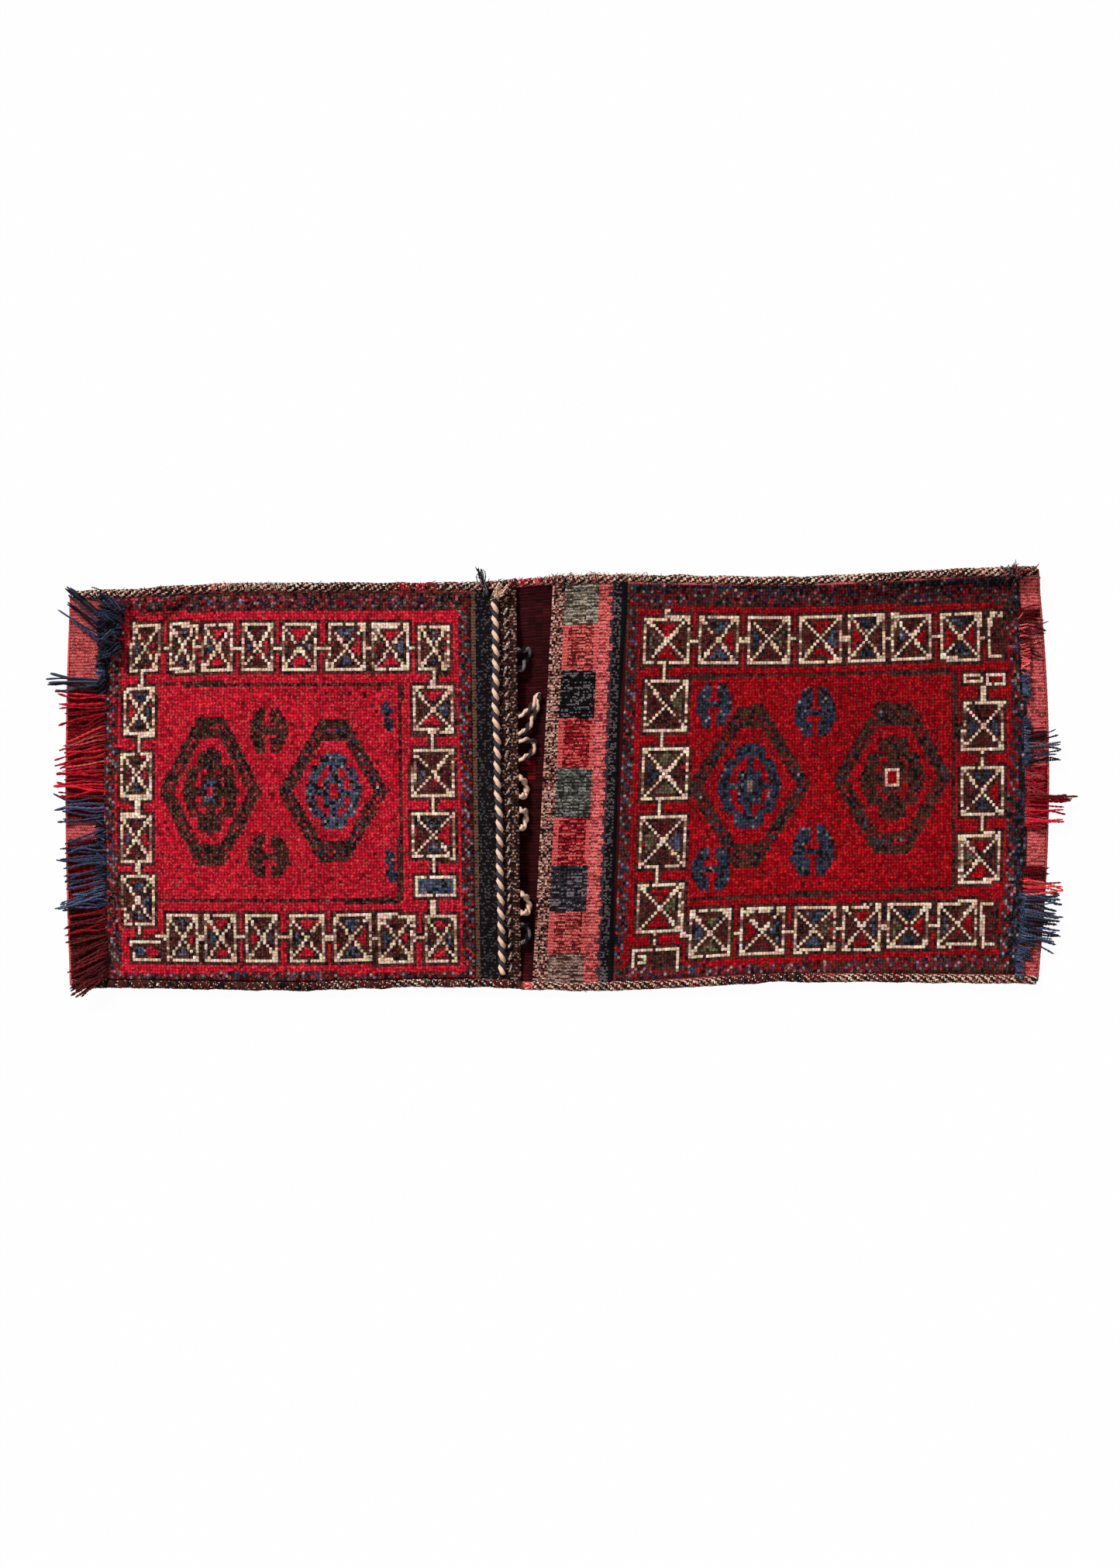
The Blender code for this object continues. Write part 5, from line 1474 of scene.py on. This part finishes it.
class SaddleBagWools(bpy.types.PropertyGroup):
    """Colours of the wools."""

    left_red: wool_property("left_red", "Left red", "Ground wool of the left pocket")
    right_red: wool_property("right_red", "Right red", "Ground wool of the right pocket")
    salmon: wool_property("salmon", "Salmon", "Flat-woven wool of the back and folds")
    cream: wool_property("cream", "Cream", "Undyed wool of the boxes, cords and stitches")
    navy: wool_property("navy", "Navy", "Dark blue wool of the figures and fringe")
    brown: wool_property("brown", "Brown", "Dark wool of the outlines")


class SaddleBagWeave(bpy.types.PropertyGroup):
    """Relief, wear, uneven dye and painted highlights of the weave."""

    knot_depth: bpy.props.FloatProperty(
        name="Knot depth", description="How far each knot stands above its edges",
        default=0.0015, min=0.0, max=0.003, unit="LENGTH")
    dark_wear: bpy.props.FloatProperty(
        name="Dark wool wear", description="How much lower the dark wool has worn",
        default=0.0009, min=0.0, max=0.003, unit="LENGTH")
    dye_spread: bpy.props.FloatProperty(
        name="Uneven dye", description="How much the knots differ in brightness",
        default=0.28, min=0.0, max=0.6, subtype="FACTOR")
    bright_fibres: bpy.props.FloatProperty(
        name="Highlighted tufts", description="Share of tufts whose fibres catch the light",
        default=0.14, min=0.0, max=1.0, subtype="FACTOR")


class SaddleBagStudio(bpy.types.PropertyGroup):
    """Light and camera."""

    key_strength: bpy.props.FloatProperty(
        name="Key light", description="Strength of the soft key light", default=3.1, min=0.0, max=20.0)
    key_height: bpy.props.FloatProperty(
        name="Key height", description="Angle of the key light above the floor",
        default=math.radians(38), min=0.1, max=1.57, subtype="ANGLE")
    sky_strength: bpy.props.FloatProperty(
        name="Sky light", description="Strength of the even light from all round",
        default=0.32, min=0.0, max=3.0)
    camera_height: bpy.props.FloatProperty(
        name="Camera height", description="Height of the camera above the bag",
        default=4.2, min=1.0, max=20.0, unit="LENGTH")


class SADDLEBAG_OT_weave_fronts(bpy.types.Operator):
    """Weave the two pocket fronts, knot by knot, in place of the folded solid's faces"""

    bl_idname = "saddlebag.weave_fronts"
    bl_label = "Weave pocket fronts"

    def execute(self, context):
        scene = context.scene
        for front, paint, seed in ((LEFT, paint_left, 11), (RIGHT, paint_right, 23)):
            piece = weave_front(front, paint, scene.saddlebag_wools, scene.saddlebag_weave, seed)
            along, first, knots = front_lines(front)
            finish_piece(piece, [woven_wool(), pile_wool()], "pile", "woven_body")
            squares = len(across_lines()) - 1
            pile = np.zeros(len(piece.data.polygons), np.int32)
            grid = pile[:(len(along) - 1) * squares].reshape(-1, squares)
            grid[first:first + 2 * knots, MARGIN_THREADS:-MARGIN_THREADS] = 1
            piece.data.polygons.foreach_set("material_index", pile)
        return {"FINISHED"}


class SADDLEBAG_OT_weave_back(bpy.types.Operator):
    """Weave the back, the folds and the bridge between the pockets"""

    bl_idname = "saddlebag.weave_back"
    bl_label = "Weave back and bridge"

    def execute(self, context):
        scene = context.scene
        piece = weave_back(scene.saddlebag_wools)
        finish_piece(piece, [woven_wool()], "flat_weave", "woven_body")
        return {"FINISHED"}


# Bindings: dark wools by side, pale wools, and how much of each stretch is pale
DARK_WRAPS = {1: ("brown", "black", "maroon", "black"), -1: ("brown", "brown", "maroon", "black")}
PALE_WRAPS = ("cream", "pale")
PALE_SHARES = {"far_left": 0.34, "far_right": 0.50, "near_left": 0.02, "near_right": 0.32}
BRIDGE_WRAPS = (("left_red", "coral", "maroon"), ("cream", "salmon"), 0.45)


class SADDLEBAG_OT_wrap_bindings(bpy.types.Operator):
    """Overcast the long edges of the pockets and of the bridge"""

    bl_idname = "saddlebag.wrap_bindings"
    bl_label = "Wrap bindings"

    def execute(self, context):
        table = dye_table(context.scene.saddlebag_wools)
        for side, word in ((1, "far"), (-1, "near")):
            edge = side * HALF_WIDTH
            mouths = [float(front_inner(front, front.mouth, edge)[0]) for front in (LEFT, RIGHT)]
            folds = [float(front_inner(front, 0.0, edge)[0]) for front in (LEFT, RIGHT)]
            left, right = ((DARK_WRAPS[side], PALE_WRAPS, PALE_SHARES[f"{word}_{part}"])
                           for part in ("left", "right"))
            runs = (("left", folds[0], mouths[0], EDGE_STACK, left),
                    ("right", mouths[1], folds[1], EDGE_STACK, right),
                    ("bridge", mouths[0], mouths[1], FLAT_WEAVE, BRIDGE_WRAPS))
            for number, (part, start, end, stack, wools) in enumerate(runs):
                node = f"binding_{word}_{part}"
                piece = binding_mesh(node, side, start, end, stack, wools, table, 40 + 5 * number + side)
                finish_piece(piece, [spun_wool()], "binding_yarn", node)
                piece.name = f"overcast_{word}_{part}"
        paths, dyes = fray_paths(table, np.random.default_rng(57))
        frays = rope_mesh("frays", paths, FRAY_RADIUS, FRAY_PITCH, dyes, apart=0.0, tips=FRAY_TIPS)
        finish_piece(frays, [spun_wool()], "binding_yarn")
        return {"FINISHED"}


class SADDLEBAG_OT_twist_cord(bpy.types.Operator):
    """Twist the two-ply cord along the left mouth and sew the running stitches beside it"""

    bl_idname = "saddlebag.twist_cord"
    bl_label = "Twist mouth cord"

    def execute(self, context):
        table = dye_table(context.scene.saddlebag_wools)
        plies = [[table[WOOLS.index("cream")], table[WOOLS.index("charcoal")] * CORD_GLOW]]
        cord = rope_mesh("twisted_mouth_cord", mouth_cord_path()[None], CORD_RADIUS, CORD_TWIST, plies,
                         apart=CORD_APART)
        finish_piece(cord, [spun_wool()], "cream_cord", "mouth_cord")
        rng = np.random.default_rng(71)
        paths = stitch_paths(rng)
        dyes = STITCH_WHITE + STITCH_DYE * strand_dyes(table, ("cream",), len(paths), rng, 0.08)
        stitches = rope_mesh("running_stitches", paths, STITCH_RADIUS, STITCH_TWIST, dyes)
        finish_piece(stitches, [spun_wool()], "cream_cord")
        return {"FINISHED"}


class SADDLEBAG_OT_make_loops(bpy.types.Operator):
    """Twist the closing loops of the left mouth"""

    bl_idname = "saddlebag.make_loops"
    bl_label = "Make closing loops"

    def execute(self, context):
        table = dye_table(context.scene.saddlebag_wools)
        for node, root, reach, shift, wools in LOOPS:
            path = loop_path(root, reach, shift)
            plies = [[table[WOOLS.index(name)] for name in wools]]
            piece = rope_mesh(f"twisted_{node}", path[None], LOOP_RADIUS * LOOP_SWELL, LOOP_TWIST, plies)
            slot = "dark_yarn" if wools[0] == "black" else "cream_cord"
            finish_piece(piece, [spun_wool()], slot, node)
        return {"FINISHED"}


class SADDLEBAG_OT_knot_fringes(bpy.types.Operator):
    """Knot the locks of fringe along both folds"""

    bl_idname = "saddlebag.knot_fringes"
    bl_label = "Knot fringes"

    def execute(self, context):
        table = dye_table(context.scene.saddlebag_wools)
        for seed, (node, side, slot, bunches) in enumerate(FRINGES):
            piece = knot_fringe(f"yarns_{node}", side, bunches, table, 100 + seed)
            finish_piece(piece, [spun_wool()], slot, node)
        return {"FINISHED"}


class SADDLEBAG_OT_tie_tufts(bpy.types.Operator):
    """Tie the loose yarn ends at the far side"""

    bl_idname = "saddlebag.tie_tufts"
    bl_label = "Tie tufts"

    def execute(self, context):
        table = dye_table(context.scene.saddlebag_wools)
        rng = np.random.default_rng(83)
        for node, slot, start, spread, end, count, rise, wools in TUFTS:
            paths = tuft_paths(start, spread, end, count, rise, rng)
            dyes = TUFT_GLOW * strand_dyes(table, wools, count, rng, TUFT_UNEVEN)
            piece = rope_mesh(f"ends_{node}", paths, TUFT_RADIUS, TUFT_PITCH, dyes, tips=TUFT_TIPS)
            finish_piece(piece, [spun_wool()], slot, node)
        return {"FINISHED"}


class SADDLEBAG_OT_set_stage(bpy.types.Operator):
    """Set the pale floor, the soft light and the camera above the bag"""

    bl_idname = "saddlebag.set_stage"
    bl_label = "Set stage"

    def execute(self, context):
        studio = context.scene.saddlebag_studio
        set_floor()
        set_world(context.scene, studio.sky_strength)
        set_key(context.scene, studio.key_strength, studio.key_height)
        set_camera(context.scene, studio.camera_height)
        context.scene.view_settings.view_transform = "Standard"
        return {"FINISHED"}


# The studio: floor, picture frame, lens and key light
FLOOR_HALF = 4.0
FLOOR_DROP = 0.0004
FLOOR_GLOW = 0.965
FRAME_SIZE = (1445, 2023)
SENSOR = 36.0
TOP_FACE = 0.014
KEY_SPREAD = math.radians(14)
KEY_TURN = math.radians(128)


def set_floor():
    """A white floor just under the bag. The camera sees it mostly as plain white light, and the rest
    of it keeps a faint shadow."""
    corner = np.array(((-1, -1), (1, -1), (1, 1), (-1, 1))) * FLOOR_HALF
    points = np.column_stack([corner, np.full(4, -FLOOR_DROP)])
    floor = build_mesh("floor", points, [np.array([[0, 1, 2, 3]])], np.full((4, 3), 0.9))
    material = bpy.data.materials.new("studio_floor")
    recipe = Recipe(material)
    recipe.set("Principled BSDF", Base_Color=(0.90, 0.90, 0.90, 1.0), Roughness=0.9, Specular_IOR_Level=0.0)
    lit = Signal(recipe, recipe.tree.nodes["Principled BSDF"].outputs[0])
    seen = recipe.node("ShaderNodeLightPath", output="Is Camera Ray")
    glow = recipe.node("ShaderNodeEmission", {}, {"Color": (1, 1, 1, 1), "Strength": 1.0})
    mix = recipe.node("ShaderNodeMixShader", {}, {0: seen * FLOOR_GLOW, 1: lit, 2: glow})
    recipe.set("Material Output", Surface=mix)
    floor.data.materials.append(material)


def set_world(scene, strength):
    """Even white light from all round; the camera sees plain white."""
    scene.world = bpy.data.worlds.new("studio")
    recipe = Recipe(scene.world)
    seen = recipe.node("ShaderNodeLightPath", output="Is Camera Ray")
    recipe.set("Background", Color=(1, 1, 1, 1), Strength=seen * (1.0 - strength) + strength)


def set_key(scene, strength, height):
    """A broad, far key light from the far left."""
    data = bpy.data.lights.new("key", "SUN")
    data.energy = strength
    data.angle = KEY_SPREAD
    key = bpy.data.objects.new("key", data)
    scene.collection.objects.link(key)
    key.rotation_euler = (0, math.pi / 2 - height, KEY_TURN)


def set_camera(scene, height):
    """A camera straight above, which takes in the drawing's whole frame at the bag's upper face."""
    width = FRAME_SIZE[0] * PLAN_UNIT
    data = bpy.data.cameras.new("camera")
    data.sensor_fit = "HORIZONTAL"
    data.sensor_width = SENSOR
    data.lens = SENSOR * height / width
    data.clip_end = 50.0
    camera = bpy.data.objects.new("camera", data)
    scene.collection.objects.link(camera)
    x = (FRAME_SIZE[0] / 2 - PLAN_MIDDLE[0]) * PLAN_UNIT
    y = (PLAN_MIDDLE[1] - FRAME_SIZE[1] / 2) * PLAN_UNIT
    camera.location = (x, y, height + TOP_FACE)
    scene.camera = camera


# The operators in the order main() calls them
STEPS = (
    SADDLEBAG_OT_weave_back,
    SADDLEBAG_OT_weave_fronts,
    SADDLEBAG_OT_wrap_bindings,
    SADDLEBAG_OT_twist_cord,
    SADDLEBAG_OT_make_loops,
    SADDLEBAG_OT_knot_fringes,
    SADDLEBAG_OT_tie_tufts,
    SADDLEBAG_OT_set_stage,
)


# The scene's properties and their groups
SETTINGS = {"saddlebag_wools": SaddleBagWools, "saddlebag_weave": SaddleBagWeave,
            "saddlebag_studio": SaddleBagStudio}


class SADDLEBAG_PT_panel(bpy.types.Panel):
    """Sidebar panel of the saddle bag"""

    bl_idname = "SADDLEBAG_PT_panel"
    bl_label = "Saddle bag"
    bl_space_type = "VIEW_3D"
    bl_region_type = "UI"
    bl_category = "Saddle bag"

    def draw(self, context):
        for word, group in SETTINGS.items():
            for name in group.__annotations__:
                self.layout.prop(getattr(context.scene, word), name)
        for step in STEPS:
            self.layout.operator(step.bl_idname)


CLASSES = (*SETTINGS.values(), *STEPS, SADDLEBAG_PT_panel)


def register():
    """Registers every class and hangs the settings on the scene."""
    for cls in CLASSES:
        bpy.utils.register_class(cls)
    for word, group in SETTINGS.items():
        setattr(bpy.types.Scene, word, bpy.props.PointerProperty(type=group))


def unregister():
    """Takes the settings and the classes away again."""
    for word in SETTINGS:
        delattr(bpy.types.Scene, word)
    for cls in reversed(CLASSES):
        bpy.utils.unregister_class(cls)


def main():
    register()
    bpy.ops.saddlebag.weave_back()
    bpy.ops.saddlebag.weave_fronts()
    bpy.ops.saddlebag.wrap_bindings()
    bpy.ops.saddlebag.twist_cord()
    bpy.ops.saddlebag.make_loops()
    bpy.ops.saddlebag.knot_fringes()
    bpy.ops.saddlebag.tie_tufts()
    bpy.ops.saddlebag.set_stage()


if __name__ == "__main__":
    main()
